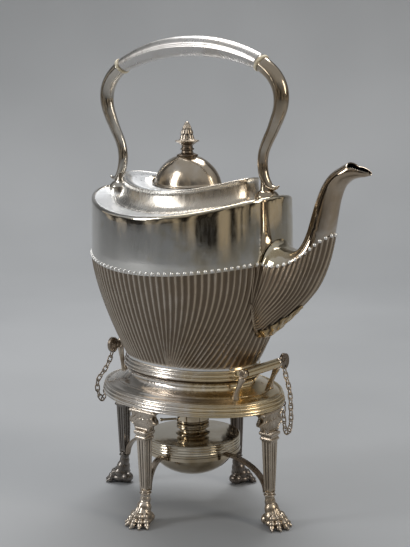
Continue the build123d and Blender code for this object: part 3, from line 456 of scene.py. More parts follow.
def noise(tree, scale, detail, stretch=(1, 1, 1), distortion=0.0, space="Object"):
    """A noise value."""
    where = add(tree, "Mapping", {0: add(tree, "TexCoord").outputs[space], "Scale": stretch}).outputs[0]
    inputs = {"Vector": where, "Scale": scale, "Detail": detail, "Distortion": distortion}
    return add(tree, "TexNoise", inputs).outputs["Fac"]


def coordinates(tree, space="Object"):
    """X, Y and Z."""
    return add(tree, "SeparateXYZ", {0: add(tree, "TexCoord").outputs[space]}).outputs


def remap(tree, value, low, high, to_low=0.0, to_high=1.0):
    """A value mapped from one range to another, held at the ends."""
    inputs = dict(enumerate((value, low, high, to_low, to_high)))
    return add(tree, "MapRange", inputs, interpolation_type="SMOOTHSTEP").outputs[0]


def mix(tree, factor, first, second):
    """Two colours mixed by a factor."""
    return add(tree, "Mix", {6: first, 7: second, 0: factor}, data_type="RGBA").outputs[2]


def maths(tree, operation, first, second):
    """Two values put together."""
    return add(tree, "Math", {0: first, 1: second}, operation=operation).outputs[0]


def relief(tree, shader, height, strength, distance):
    """A bump from a height."""
    node = add(tree, "Bump", {"Strength": strength, "Distance": distance, "Height": height})
    put(tree, node.outputs[0], shader.inputs["Normal"])


BAND_CLEAN, BAND_WARM = (0.78, 0.76, 0.72), (0.58, 0.48, 0.30)
SPOUT_ROOT_X = (0.092, 0.114)
# Turn, reach and lean of a painted warm reflection that grows towards one side
SIDE_TURN = 1.9
SIDE_REACH = (-0.10, 0.12)
SIDE_LEAN = (-0.12, 0.16)


def silver(
    name, clean, warm, dark, warmth, dirt_and_shade_share, rough, bump=0.05, wear=0.4, lean=SIDE_LEAN,
    like_band_at_root=False,
):
    """Silver plate: patches of tarnish with a painted warm reflection towards one side, dirt and painted shade in
    hollows, worn ridges and fine scratches.
    """
    material, tree, shader = start_material(name)
    shader.inputs["Metallic"].default_value = 1.0
    x, y, _ = coordinates(tree)

    def plus(first, second):
        return maths(tree, "ADD", first, second)

    def times(first, second):
        return maths(tree, "MULTIPLY", first, second)

    if like_band_at_root:
        from_root = remap(tree, x, *SPOUT_ROOT_X)
        clean, warm = mix(tree, from_root, BAND_CLEAN, clean), mix(tree, from_root, BAND_WARM, warm)
    broad = noise(tree, 14, 5.0, distortion=0.5)
    fine = noise(tree, 95, 6.0, distortion=0.3)
    # Painted warm reflection: the colour turns warmer towards one side, added to the tarnish patches
    side = remap(tree, plus(times(x, SIDE_TURN), y), *SIDE_REACH, *lean)
    patches = plus(plus(broad, times(fine, 0.45)), side)
    tarnish_and_warm_reflection = remap(tree, patches, 0.92 - 0.5 * warmth, 1.12 - 0.35 * warmth, 0.0, 0.35 + 0.6 * warmth)
    colour = mix(tree, tarnish_and_warm_reflection, clean, warm)
    hollow = add(tree, "Attribute", attribute_name="cavity").outputs["Fac"]
    # Darker where the cavity mark is high: dirt in real hollows, and painted shade where a piece marks a shadowed
    # seam or inner wall
    dirt_and_shade = remap(tree, plus(hollow, times(maths(tree, "SUBTRACT", fine, 0.5), 0.35)), 0.12, 0.85)
    colour = mix(tree, times(dirt_and_shade, dirt_and_shade_share), colour, dark)
    worn = remap(tree, hollow, -0.04, -0.3, 0.0, wear)
    put(tree, mix(tree, worn, colour, clean), shader.inputs["Base Color"])
    scratches = noise(tree, 420, 3.0, (1, 1, 0.25))
    gloss = remap(tree, times(plus(broad, scratches), 0.5), 0.35, 0.7, *rough)
    put(tree, plus(gloss, times(dirt_and_shade, 0.18)), shader.inputs["Roughness"])
    relief(tree, shader, plus(scratches, times(fine, 0.8)), bump, 0.0004)
    return material


def plain(name, first, second, scale, metallic, roughness, bump=0.1, stretch=(1, 1, 1)):
    """A surface of two close colours in a fine pattern."""
    material, tree, shader = start_material(name)
    shader.inputs["Metallic"].default_value = metallic
    pattern = noise(tree, scale, 6.0, stretch)
    put(tree, mix(tree, remap(tree, pattern, 0.35, 0.65), first, second), shader.inputs["Base Color"])
    put(tree, remap(tree, pattern, 0.3, 0.7, *roughness), shader.inputs["Roughness"])
    relief(tree, shader, pattern, bump, 0.0003)
    return material


# Silvers: clean metal, tarnish, colour of the dirt and painted shade, reach of the tarnish, share of the dirt and
# shade, roughness, bump, wear, lean of the tarnish and painted warm reflection to one side, and whether the root is
# like the band
SILVERS = {
    "kettle": ((0.80, 0.79, 0.77), (0.62, 0.53, 0.38), (0.10, 0.08, 0.06), 0.36, 1.0, (0.12, 0.3)),
    # Beads take a lighter, rougher copy of the kettle's silver; the lighter colour is a painted highlight that makes
    # each bead a bright dot
    "bead": ((0.95, 0.94, 0.92), (0.86, 0.82, 0.74), (0.3, 0.25, 0.2), 0.3, 1.0, (0.34, 0.48), 0.02),
    "lid": ((0.66, 0.61, 0.54), (0.46, 0.36, 0.25), (0.08, 0.06, 0.04), 0.72, 1.0, (0.1, 0.22)),
    "band": (BAND_CLEAN, BAND_WARM, (0.10, 0.08, 0.06), 0.5, 1.0, (0.04, 0.13), 0.03),
    "fluted": ((0.57, 0.50, 0.42), (0.45, 0.35, 0.24), (0.155, 0.118, 0.084), 0.6, 0.9, (0.24, 0.4), 0.1, 0.35),
    "spout": ((0.56, 0.50, 0.43), (0.32, 0.23, 0.14), (0.07, 0.05, 0.04), 0.62, 1.0, (0.06, 0.16), 0.05, 0.4,
              SIDE_LEAN, True),
    "shoulder": ((0.86, 0.87, 0.88), (0.74, 0.70, 0.62), (0.12, 0.10, 0.08), 0.3, 1.0, (0.27, 0.42), 0.04),
    # A darker silver for the legs on the far side, as painted shade
    "far_leg_shaded": ((0.24, 0.22, 0.20), (0.13, 0.10, 0.08), (0.03, 0.024, 0.018), 0.55, 1.0, (0.22, 0.4), 0.12, 0.6),
    "leaf": ((0.64, 0.54, 0.38), (0.50, 0.35, 0.17), (0.05, 0.035, 0.02), 0.7, 1.0, (0.2, 0.36), 0.12, 0.8),
    "handle": ((0.58, 0.54, 0.48), (0.36, 0.27, 0.17), (0.08, 0.06, 0.04), 0.6, 1.0, (0.09, 0.24)),
    "grip": ((0.64, 0.62, 0.60), (0.44, 0.38, 0.31), (0.10, 0.08, 0.06), 0.5, 1.0, (0.26, 0.4)),
    # The stand leans further towards the painted warm reflection on one side
    "stand": ((0.76, 0.71, 0.65), (0.64, 0.49, 0.25), (0.08, 0.055, 0.035), 0.66, 1.0, (0.14, 0.3), 0.07, 0.4,
              (-0.34, 0.30)),
    "ornament": ((0.60, 0.53, 0.45), (0.40, 0.31, 0.21), (0.035, 0.026, 0.02), 0.6, 1.0, (0.2, 0.38), 0.15, 0.8),
    "dark": ((0.30, 0.25, 0.20), (0.16, 0.11, 0.07), (0.02, 0.015, 0.01), 0.6, 1.0, (0.2, 0.4), 0.15, 0.8),
    "burner": ((0.60, 0.52, 0.40), (0.27, 0.19, 0.09), (0.045, 0.034, 0.024), 0.62, 1.0, (0.06, 0.18), 0.05),
    "neck": ((0.76, 0.73, 0.68), (0.58, 0.49, 0.38), (0.12, 0.09, 0.07), 0.6, 1.0, (0.2, 0.34), 0.01),
    "reservoir": ((0.70, 0.64, 0.53), (0.42, 0.32, 0.17), (0.045, 0.034, 0.024), 0.5, 1.0, (0.08, 0.2), 0.05),
}
silvers = {name: silver(f"{name}_silver", *row) for name, row in SILVERS.items()}
ivory = plain("ivory", (0.80, 0.74, 0.58), (0.60, 0.50, 0.33), 260, 0.0, (0.28, 0.42), 0.15, (1, 1, 3))
dark_steel = plain("dark_steel", (0.30, 0.29, 0.28), (0.20, 0.18, 0.16), 300, 1.0, (0.3, 0.5))
sooted_brass = plain("sooted_brass", (0.42, 0.32, 0.16), (0.16, 0.12, 0.08), 220, 1.0, (0.35, 0.55))
cotton = plain("cotton", (0.72, 0.68, 0.60), (0.48, 0.44, 0.38), 1500, 0.0, (0.85, 0.95), 0.6)


# Fluted bowl: each flute starts under a bead, runs down, and fans away from the spout towards the foot
def swept_angle(u, share):
    """Where a flute that starts at angle u has got to, at a share of the way down."""
    fan = 0.40 * np.sin(pi * unit(np.abs(u) / 1.4) ** 0.8) * np.sign(u)
    return u + 1.06 * fan * np.clip((share - 0.12) / 0.88, 0, None) ** 2.1


def bowl_point(t, z):
    """A point of the bowl at an angle and a height."""
    return oval(t, *body_axes(z), z)


def grooved(points, phase, v, proud, closed_columns):
    """Rows of points pressed into flutes, and how deep each lies in a hollow."""
    groove = np.abs(np.sin(pi * phase)) ** 0.62
    if closed_columns:
        padded = np.concatenate([points[:, -HALF_FLUTE:], points, points[:, :HALF_FLUTE]], 1)
    else:
        padded = np.concatenate([points[:, :1]] * HALF_FLUTE + [points] + [points[:, -1:]] * HALF_FLUTE, 1)
    spacing = np.linalg.norm(padded[:, STEPS_PER_FLUTE:] - padded[:, :-STEPS_PER_FLUTE], axis=2)
    ends = np.sqrt(unit(v / 0.045) * unit((1 - v) / 0.035))[:, None]
    depth = np.minimum(FLUTE_DEPTH, 0.27 * spacing) * ends
    out = normals_of(points, closed_columns)
    lifted = points + out * (proud + 0.25 * ends - depth * groove[None])[..., None]
    hollow = np.clip(1.1 * groove[None] - 0.16, -0.2, 1) * unit(depth / FLUTE_DEPTH * 1.4)
    return lifted, hollow


row_share = 1 - (1 - np.linspace(0, 1, ROWS)) ** 1.15
flute_turn = (circle(FLUTES * STEPS_PER_FLUTE) + pi) % (2 * pi) - pi
bowl_turn = swept_angle(flute_turn[None, :], 1 - row_share[:, None])
bowl_top = BEAD_Z + BEAD_K * (BELLY_A * np.cos(bowl_turn)) ** 2
bowl = bowl_point(bowl_turn, FOOT_Z + row_share[:, None] * (bowl_top - FOOT_Z))
phase = np.arange(FLUTES * STEPS_PER_FLUTE) / STEPS_PER_FLUTE
fluted, hollow = grooved(bowl, phase, row_share, 0.0, True)
finish_piece(grid("fluted_bowl", fluted, cavity=hollow), "kettle", silvers["fluted"], "kettle_body")


# Fluted spout: its flutes leave the beads downwards, bend towards the root and end at the seam
def seam_points(rows):
    """X and Z of the seam from rows of angle and height."""
    rows = np.asarray(rows)
    return bowl_point(np.radians(rows[:, 0]), rows[:, 1])[:, [0, 2]]


def over_surface(line):
    """Points on one side of the kettle over points in the plane of symmetry."""
    return np.stack([line[..., 0], kettle_side(line[..., 0], line[..., 1]), line[..., 1]], -1)


def lengthwise(line, count):
    """A line in the plane of symmetry at even steps of its length over the kettle's surface."""
    surface = over_surface(line)
    surface[-1, 1] *= surface[-1, 1] > 6
    return evenly(line, count, surface)


corner_u = radians(20.5)
corner = bowl_point(np.array(corner_u), np.array(BEAD_Z + BEAD_K * (BELLY_A * cos(corner_u)) ** 2))[[0, 2]]
keel_rows = spline_at(SPOUT, np.linspace(0, KEEL_STATION, 400))[:, 2:4]
root = seam_points(SEAM[-1:])[0]
keel_rows = np.vstack([root, (75.6, 151.0), keel_rows[keel_rows[:, 0] > 79.5]])
keel_line = spline_at(keel_rows, np.linspace(0, len(keel_rows) - 1, 900))
dense = np.linspace(0, 1, 1500)
bead_knots = np.array([corner, *BEADS_ON_SPOUT, keel_rows[-1]])
bead_line = spline_at(bead_knots, (1 - (1 - dense) ** 2) * (len(bead_knots) - 1))
bead_surface = over_surface(bead_line)
bead_surface[-1, 1] = 0
seam_upper = spline_at([corner, *seam_points(SEAM[: SEAM_CORNER + 1])], dense * (SEAM_CORNER + 1))
seam_lower = spline_at(seam_points(SEAM[SEAM_CORNER:]), dense * (len(SEAM) - 1 - SEAM_CORNER))


def spout_patch():
    """One side of the spout below its beads: rows from the root up, columns from the seam to the keel."""
    q = np.linspace(0, 1, SPOUT_FLUTES * STEPS_PER_FLUTE + 1)
    top = evenly(bead_line, len(q), bead_surface)
    bottom = lengthwise(seam_lower, len(q))
    left = evenly(seam_upper[::-1], ROWS)
    right = evenly(keel_line, ROWS)
    v = np.linspace(0, 1, ROWS)[:, None, None]
    across = (q**2 * (3 - 2 * q))[None, :, None]
    patch = (1 - v) * bottom[None] + v * top[None]
    patch = patch + (1 - across) * (left[:, None] - (1 - v) * left[0] - v * left[-1])
    patch = patch + across * (right[:, None] - (1 - v) * right[0] - v * right[-1])
    surface = over_surface(patch)
    surface[:, -1, 1] = 0
    return surface


def spout_skin(far, proud=0.35, wall=1.6):
    """Both sides of the fluted spout from its far side, with a rim turned inwards all round."""
    both = np.concatenate([far * np.array([1, -1, 1]), far[:, -2::-1]], 1)
    steps = np.arange(far.shape[1])
    phase = np.concatenate([steps, steps[-2::-1]]) / STEPS_PER_FLUTE
    lifted, hollow = grooved(both, phase, np.linspace(0, 1, ROWS), proud, False)
    inward = both - wall * normals_of(both, False)
    lifted = np.concatenate([inward[:1], lifted], 0)
    inward = np.concatenate([inward[:1], inward], 0)
    lifted = np.concatenate([inward[:, :1], lifted, inward[:, -1:]], 1)
    # The rim turned inwards is darkened as painted shade along the seam where spout and bowl meet
    hollow = np.pad(hollow, ((1, 0), (1, 1)), constant_values=0.9)
    return grid("fluted_spout", lifted, close_columns=False, cavity=hollow)


spout_far = spout_patch()
finish_piece(spout_skin(spout_far), "kettle", silvers["fluted"])


# Band above the beads, and the wall inside
def band(wall=2.9):
    """The smooth band, its rolled edge at the shoulder, and the inside down to the foot."""
    t = circle(320)
    x = BELLY_A * np.cos(t)
    low = BEAD_Z + BEAD_K * x**2
    high = SHOULDER_Z + SHOULDER_K * x**2
    rings = [bowl_point(t, low + v * (high - low)) for v in np.linspace(-0.04, 0.94, 14)]
    a, b = body_axes(high)
    for inward, drop in [(0.08, -1.5), (0.35, -0.85), (0.9, -0.3), (1.6, -0.02), (2.6, 0.12)]:
        rings.append(oval(t, a - inward, b - inward, high + drop))
    for v in np.linspace(0.96, 0.0, 12):
        z = FOOT_Z + v * (high - FOOT_Z)
        a, b = body_axes(z)
        rings.append(oval(t, a - wall, b - wall, z))
    return grid("band", rings)


finish_piece(band(), "kettle", silvers["band"], "kettle_body")

# Beads over every flute of the bowl that the spout leaves free, and over those of the spout
flute_middles = slice(HALF_FLUTE, None, STEPS_PER_FLUTE)
middles = [point for point, u in zip(bowl[-1][flute_middles], flute_turn[flute_middles]) if abs(u) > corner_u]
finish_piece(balls("beads", middles, BEAD_RADIUS), "kettle", silvers["bead"], "bead_wire")
middles = [point * np.array([1, way, 1]) for point in spout_far[-1, flute_middles] for way in (1, -1)]
finish_piece(balls("beads_of_spout", middles, SPOUT_BEAD_RADIUS), "kettle", silvers["bead"])


# Spout above the beads, with its hood, its lip and the wall inside
def spout_upper(columns=96):
    """The smooth back of the spout, which runs into the bowl, and the tube from there to the mouth."""
    turn = np.linspace(-1, 1, columns)
    line = bead_line[::12]
    stations = np.linspace(0, KEEL_STATION, 300)
    shares = []
    for place, row in zip(stations, spline_at(SPOUT, stations)):
        back, across = row[:2], row[2:4] - row[:2]
        cross = across[0] * (line[:, 1] - back[1]) - across[1] * (line[:, 0] - back[0])
        change = np.nonzero(cross[:-1] * cross[1:] <= 0)[0]
        if len(change):
            point = line[change[-1]]
            shares.append((place, float(unit((point - back) @ across / (across @ across)))))
    shares = np.array(shares)
    rings = []
    for station in np.concatenate([np.linspace(0.0, 6.4, 60), np.linspace(6.52, MOUTH_STATION, 18)]):
        bx, bz, kx, kz, half = spline_at(SPOUT, station)
        share = np.interp(station, shares[:, 0], shares[:, 1]) if station < KEEL_STATION else 1.0
        phi = np.arccos(1 - 2 * share) * turn
        f = (1 - np.cos(phi)) / 2
        side = half_section(station, f, half)
        rings.append(np.stack([bx + (kx - bx) * f, np.sign(phi) * side, bz + (kz - bz) * f], 1))
    rings = list(onto_both(np.array(rings), BLEND, 0.06))
    phi = pi * turn
    hood = unit((np.abs(phi) - radians(66)) / radians(34)) ** 0.8
    lip = HOOD_STATION + (len(SPOUT) - 1 - HOOD_STATION) * hood
    mouth = [(share, 1.0 + 0.05 * unit((share - 0.9) / 0.08)) for share in np.linspace(0.03, 1, 34)]
    mouth += [(1.005, 1.02), (1.003, 0.95), (0.97, 0.88)]
    mouth += [(share, SPOUT_BORE) for share in (0.9, 0.75, 0.55, 0.3, 0.0)]
    for share, size in mouth:
        row = spline_at(SPOUT, MOUTH_STATION + (lip - MOUTH_STATION) * share)
        middle_x, middle_z = (row[:, 0] + row[:, 2]) / 2, (row[:, 1] + row[:, 3]) / 2
        x = middle_x + size * (row[:, 0] - row[:, 2]) / 2 * np.cos(phi)
        z = middle_z + size * (row[:, 1] - row[:, 3]) / 2 * np.cos(phi)
        rings.append(np.stack([x, size * row[:, 4] * np.sin(phi), z], 1))
    # The four rings of the lip are marked as worn; the six rings inside the mouth are darkened as painted shade
    depth_of_ring = [0.0] * (len(rings) - 10) + [-0.3] * 4 + [0.6] * 6
    return grid("spout_upper", rings, close_columns=False, cavity=np.repeat(depth_of_ring, columns))


finish_piece(spout_upper(), "kettle", silvers["spout"], "spout")


# Chased leaf over the root of the spout
def spout_leaf(rows=76, columns=41, tip_z=178.0):
    """A lobed leaf with veins and a middle rib, from the foot of the spout up its keel."""
    line = evenly(keel_line, 700)
    spine = evenly(line[: np.argmin(np.abs(line[:, 1] - tip_z))], rows)
    rings, hollow = [], []
    across = np.linspace(-1, 1, columns)
    lift = 1.4 * (1 - 0.45 * across**2)
    crest = 0.6 * bell(across / 0.1)
    for i, (x, z) in enumerate(spine):
        v = i / (rows - 1)
        width = 13.0 * unit(v / 0.12) ** 0.5 * (1 - 0.85 * v) ** 0.9
        width = (width * unit((1 - v) / 0.05) ** 0.5 + 0.3) * (1 + 0.12 * np.cos(2 * pi * 5 * v))
        step = spine[min(i + 1, rows - 1)] - spine[max(i - 1, 0)]
        inward = np.array([-step[1], step[0]]) / np.linalg.norm(step)
        veins = 0.45 * np.cos(2 * pi * (5 * v - 1.5 * np.abs(across)))
        side = width * across
        depth = np.zeros(columns)
        for _ in range(30):
            reach = kettle_side(x + inward[0] * depth, z + inward[1] * depth)
            depth += np.clip((np.abs(side) - reach) * 0.5, -2, 2)
            depth = np.clip(depth, 0, 12)
        sink = depth - (lift + veins * (1 - across**2) + crest)
        rings.append(np.stack([x + inward[0] * sink, side * 1.04, z + inward[1] * sink], 1))
        hollow.append(np.clip(0.1 - veins - crest + 0.5 * across**4, -0.3, 1))
    return grid("spout_leaf_chased", rings, close_columns=False, cavity=hollow)


finish_piece(spout_leaf(), "kettle", silvers["leaf"], "spout_leaf")

# Shoulder: half length, half width and height above its curved plane
shoulder = [
    (85.0, 64.3, 0.05), (83.0, 62.2, 0.10), (78.0, 56.8, 0.00), (72.0, 50.4, 0.15), (68.4, 46.5, 0.50),
    (66.0, 44.0, -0.80), (67.0, 45.0, -1.60), (84.6, 63.9, -1.60),
]
shoulder = [(a, b, SHOULDER_Z + rise, SHOULDER_K) for a, b, rise in shoulder]
finish_piece(oval_ring("shoulder", shoulder), "kettle", silvers["shoulder"], "shoulder_plate")

# Neck: half length, half width, and the share of the way from the shoulder's plane to the deck's
neck = [
    (69.6, 47.6, 0.0), (67.6, 45.4, 0.045), (65.2, 42.9, 0.14), (63.4, 40.9, 0.31), (62.4, 39.6, 0.52),
    (61.8, 38.7, 0.75), (61.7, 38.3, 0.90), (62.2, 38.7, 0.935), (62.5, 38.9, 0.965), (62.1, 38.5, 1.0),
    (61.2, 37.6, 1.005), (60.0, 36.4, 0.95), (60.2, 37.0, 0.6), (62.0, 39.4, 0.25), (66.6, 44.6, -0.05),
]
neck = [
    (a, b, SHOULDER_Z + share * (DECK_Z - SHOULDER_Z), SHOULDER_K + share * (DECK_K - SHOULDER_K))
    for a, b, share in neck
]
finish_piece(oval_ring("neck", neck), "kettle", silvers["neck"], "neck_wall")

# Deck: half length, half width, height above its curved plane and middle X
deck = [
    (61.3, 37.7, 0.0, 0.0), (50.0, 30.8, 0.05, -0.7), (38.0, 24.4, 0.0, -1.4), (28.6, 18.6, 0.0, LID_X),
    (28.0, 18.0, -0.5, LID_X), (28.0, 18.0, -1.4, LID_X), (60.4, 36.8, -1.4, 0.0),
]
deck = [(a, b, DECK_Z + rise, DECK_K, x0) for a, b, rise, x0 in deck]
finish_piece(oval_ring("deck", deck), "kettle", silvers["shoulder"], "deck_plate")

# Lid: half length, half width, height above the deck, and its share of the deck's saddle
lid = [
    (27.0, 17.0, 0.3, 1.0), (31.4, 21.4, 0.35, 1.0), (32.0, 22.0, 0.8, 1.0), (31.8, 21.8, 1.3, 1.0),
    (30.6, 20.6, 1.6, 1.0), (30.3, 20.4, 2.6, 0.9), (29.8, 20.1, 4.9, 0.5), (28.8, 19.4, 8.1, 0.15),
    (27.0, 18.1, 11.7, 0.0), (24.4, 16.4, 15.1, 0.0), (20.9, 14.1, 18.3, 0.0), (16.8, 11.6, 21.1, 0.0),
    (12.4, 9.3, 23.2, 0.0), (8.0, 7.4, 24.4, 0.0), (2.0, 2.0, 24.8, 0.0), (2.0, 2.0, 23.1, 0.0),
    (14.0, 9.4, 20.3, 0.0), (21.6, 14.4, 14.9, 0.0), (26.4, 17.4, 7.5, 0.0), (27.6, 17.8, 4.1, 0.3),
    (27.2, 17.2, 1.8, 1.0),
]
lid = [(a, b, DECK_Z + rise, share * DECK_K, LID_X) for a, b, rise, share in lid]
finish_piece(oval_ring("lid_shell", lid, columns=200), "lid", silvers["lid"], "lid_dome")

# Finial: a turned neck, and a bud with overlapping petals
PETALS_LOW, PETALS_HIGH, BUD_TOP = 296.8, 309.8, 310.6
PETAL_HEIGHT = 4.2


def petals(t, z):
    """Overlapping petals on the bud of the finial."""
    row, share = divmod((z - PETALS_LOW) / PETAL_HEIGHT, 1)
    on = 1.0 if PETALS_LOW < z < PETALS_HIGH else 0.0
    wave = np.abs(np.sin(4 * t + row * pi / 2))
    return on * (-0.75 * (1 - wave**0.6) - 0.55 * share**3) * np.clip((BUD_TOP - z) / 8, 0.25, 1)


finial_neck = [
    (0.0, 283.6), (7.6, 283.6), (8.3, 284.2), (8.2, 284.9), (6.6, 285.5), (5.0, 286.3), (4.5, 287.3), (4.5, 288.2),
    (5.3, 288.8), (5.3, 289.6), (4.5, 290.3), (4.4, 291.5), (5.0, 292.6), (6.6, 293.6), (6.6, 294.4), (0.0, 294.4),
]
finish_piece(turned("finial_neck", finial_neck, 90, x0=LID_X), "lid", silvers["dark"])
finial_bud = [
    (0.0, 293.9), (6.0, 293.9), (8.1, 294.5), (9.2, 295.1), (9.5, 295.6), (9.0, 296.0), (7.2, 296.4), (5.9, 297.2),
    (5.4, 299.4), (5.0, 301.6), (4.4, 303.8), (3.5, 306.0), (2.6, 308.0), (1.8, 309.4), (0.9, 310.3), (0.0, BUD_TOP),
]
piece = turned("finial_bud", finial_bud, 110, 120, petals, LID_X)
finish_piece(piece, "lid", silvers["ornament"], "finial")

# Handle: arms whose feet curl outwards to a point, and the grip; X, height and half width
ARM = [
    (87.4, 264.7, 0.45), (84.8, 263.2, 1.2), (81.6, 262.9, 2.0), (78.4, 264.2, 2.8), (75.7, 267.2, 3.4),
    (73.5, 271.6, 3.8), (72.3, 277.2, 4.0), (72.2, 283.0, 4.1), (73.4, 289.6, 4.2), (76.5, 296.6, 4.4),
    (81.0, 304.6, 4.7), (85.3, 313.4, 5.2), (88.3, 321.0, 5.6), (89.2, 329.0, 6.0), (87.6, 337.0, 6.15),
    (83.2, 344.2, 6.1), (77.6, 349.4, 6.0), (72.0, 353.2, 6.0),
]
ARM_ROOT = [(75.4, 256.5, 5.6), (75.2, 260.0, 4.7), (74.9, 263.4, 4.0), (74.6, 266.4, 3.6), (74.0, 269.6, 3.2)]


def ridged_section(half_width, half_height, ridge, columns=48):
    """A rounded section with a soft ridge along each side."""
    t = circle(columns)
    v = np.cos(t)
    cornered = (1 - np.abs(v)) ** 0.62
    w = half_width * ((1 - ridge) * np.abs(np.sin(t)) + ridge * cornered) * np.sign(np.sin(t) + 1e-9)
    return w, half_height * v


arm = curve_through(ARM, 120)
arm_root = curve_through(ARM_ROOT, 24)


def arm_section(share, i):
    """The arm's section: wider at its foot, ridged where it swells."""
    half = arm[i][2]
    ridge = 0.4 * max(0.0, 1 - abs(share - 0.6) * 1.2)
    return ridged_section(half * (1.25 - 0.25 * min(1.0, 4 * share)), half, ridge)


def arm_root_section(_, i):
    """The section of the short root inside the curl."""
    return ridged_section(arm_root[i][2], arm_root[i][2], 0.1)


for sign, place in ((1, "front"), (-1, "rear")):
    way = np.array([sign, 1])
    piece = swept_bar(f"arm_{place}", arm[:, :2] * way, arm_section)
    finish_piece(piece, "kettle", silvers["handle"], f"handle_arm_{place}")
    piece = swept_bar(f"arm_root_{place}", arm_root[:, :2] * way, arm_root_section)
    finish_piece(piece, "kettle", silvers["handle"])

grip_x = np.linspace(-GRIP_END_X, GRIP_END_X, 100)
grip_path = np.stack([grip_x, GRIP_TOP_Z - (GRIP_TOP_Z - GRIP_END_Z) * np.abs(grip_x / GRIP_END_X) ** 2.2], 1)


def grip_section(share, _, columns=72):
    """The grip's section: full at the middle, with a crease along each side below a raised back."""
    swell = 1 - abs(2 * share - 1) ** 2
    w, h = ridged_section(6.1 + 1.1 * swell, 6.0 + 1.8 * swell, 0.35, columns)
    crease = 0.7 * swell**0.5 * bell((np.cos(circle(columns)) - 0.12) / 0.1)
    return w - crease * np.sign(w), h


finish_piece(swept_bar("grip", grip_path, grip_section), "kettle", silvers["grip"], "handle_grip")

# Oval mouldings of foot and stand: half length, half width and height round each section
foot_outline = [
    (57.6, 40.6, 123.3), (59.6, 42.6, 123.4), (60.5, 43.5, 122.9), (60.9, 43.9, 121.8), (60.3, 43.3, 120.9),
    (60.9, 43.9, 120.4), (61.7, 44.7, 119.4), (61.6, 44.6, 118.3), (61.0, 44.0, 117.8), (61.7, 44.7, 117.3),
    (62.2, 45.2, 116.3), (61.4, 44.4, 115.35), (57.6, 40.6, 115.35),
]
finish_piece(oval_ring("foot_reeds", foot_outline, 64), "kettle", silvers["stand"], "kettle_foot")
border_outline = [
    (78.1, 57.1, 100.6), (79.0, 58.0, 100.95), (79.9, 58.9, 100.4), (80.0, 59.0, 99.4), (79.6, 58.5, 98.8),
    (80.4, 59.3, 98.5), (81.1, 60.0, 97.6), (81.0, 59.9, 96.6), (80.5, 59.4, 96.1), (81.3, 60.1, 95.8),
    (81.9, 60.5, 94.8), (81.8, 60.4, 93.8), (81.2, 59.9, 93.4), (81.6, 60.2, 92.8), (81.3, 59.9, 92.05),
    (80.4, 59.1, 91.9), (78.2, 57.1, 91.95), (78.0, 56.9, 94.0),
]
finish_piece(oval_ring("border_reeds", border_outline, 96, 280), "stand", silvers["stand"], "stand_border")
plate_outline = [
    (68.9, 49.9, 104.05), (69.8, 50.8, 103.9), (71.5, 52.2, 102.5), (74.6, 54.4, 101.1), (78.3, 57.2, 100.45),
    (78.0, 56.9, 99.0), (75.6, 55.0, 99.3), (70.0, 50.6, 101.8), (66.4, 47.4, 102.4), (66.4, 47.4, 103.9),
]
finish_piece(oval_ring("plate_top", plate_outline), "stand", silvers["stand"], "stand_plate")

# Collar of the stand: a waist chased with scrolls and leaves, pierced with two clusters of vent holes
VENT_ANGLES = [radians(a) for a in (131, 229)]
RIVET_ANGLES = [radians(a) for a in (23, 337)]
ORNAMENT_ANGLES = [radians(a) for a in (49, 90, 131, 229, 270, 311)]
COLLAR_A, COLLAR_B, COLLAR_TOP_Z, COLLAR_DROP, COLLAR_UP = 60.0, 43.0, 115.0, 11.0, 13
FLARE_A, FLARE_B = 9.2, 7.2
COLLAR_MM_PER_RADIAN = 56
SCROLL_ACROSS, SCROLL_UP = 8.5, 7.4
VENTS, VENT_RADIUS, VENTS_ACROSS, VENTS_UP, VENTS_MIDDLE_UP = 10, 1.0, 6.4, 3.7, 6.8
RIVET_UP = 9.2


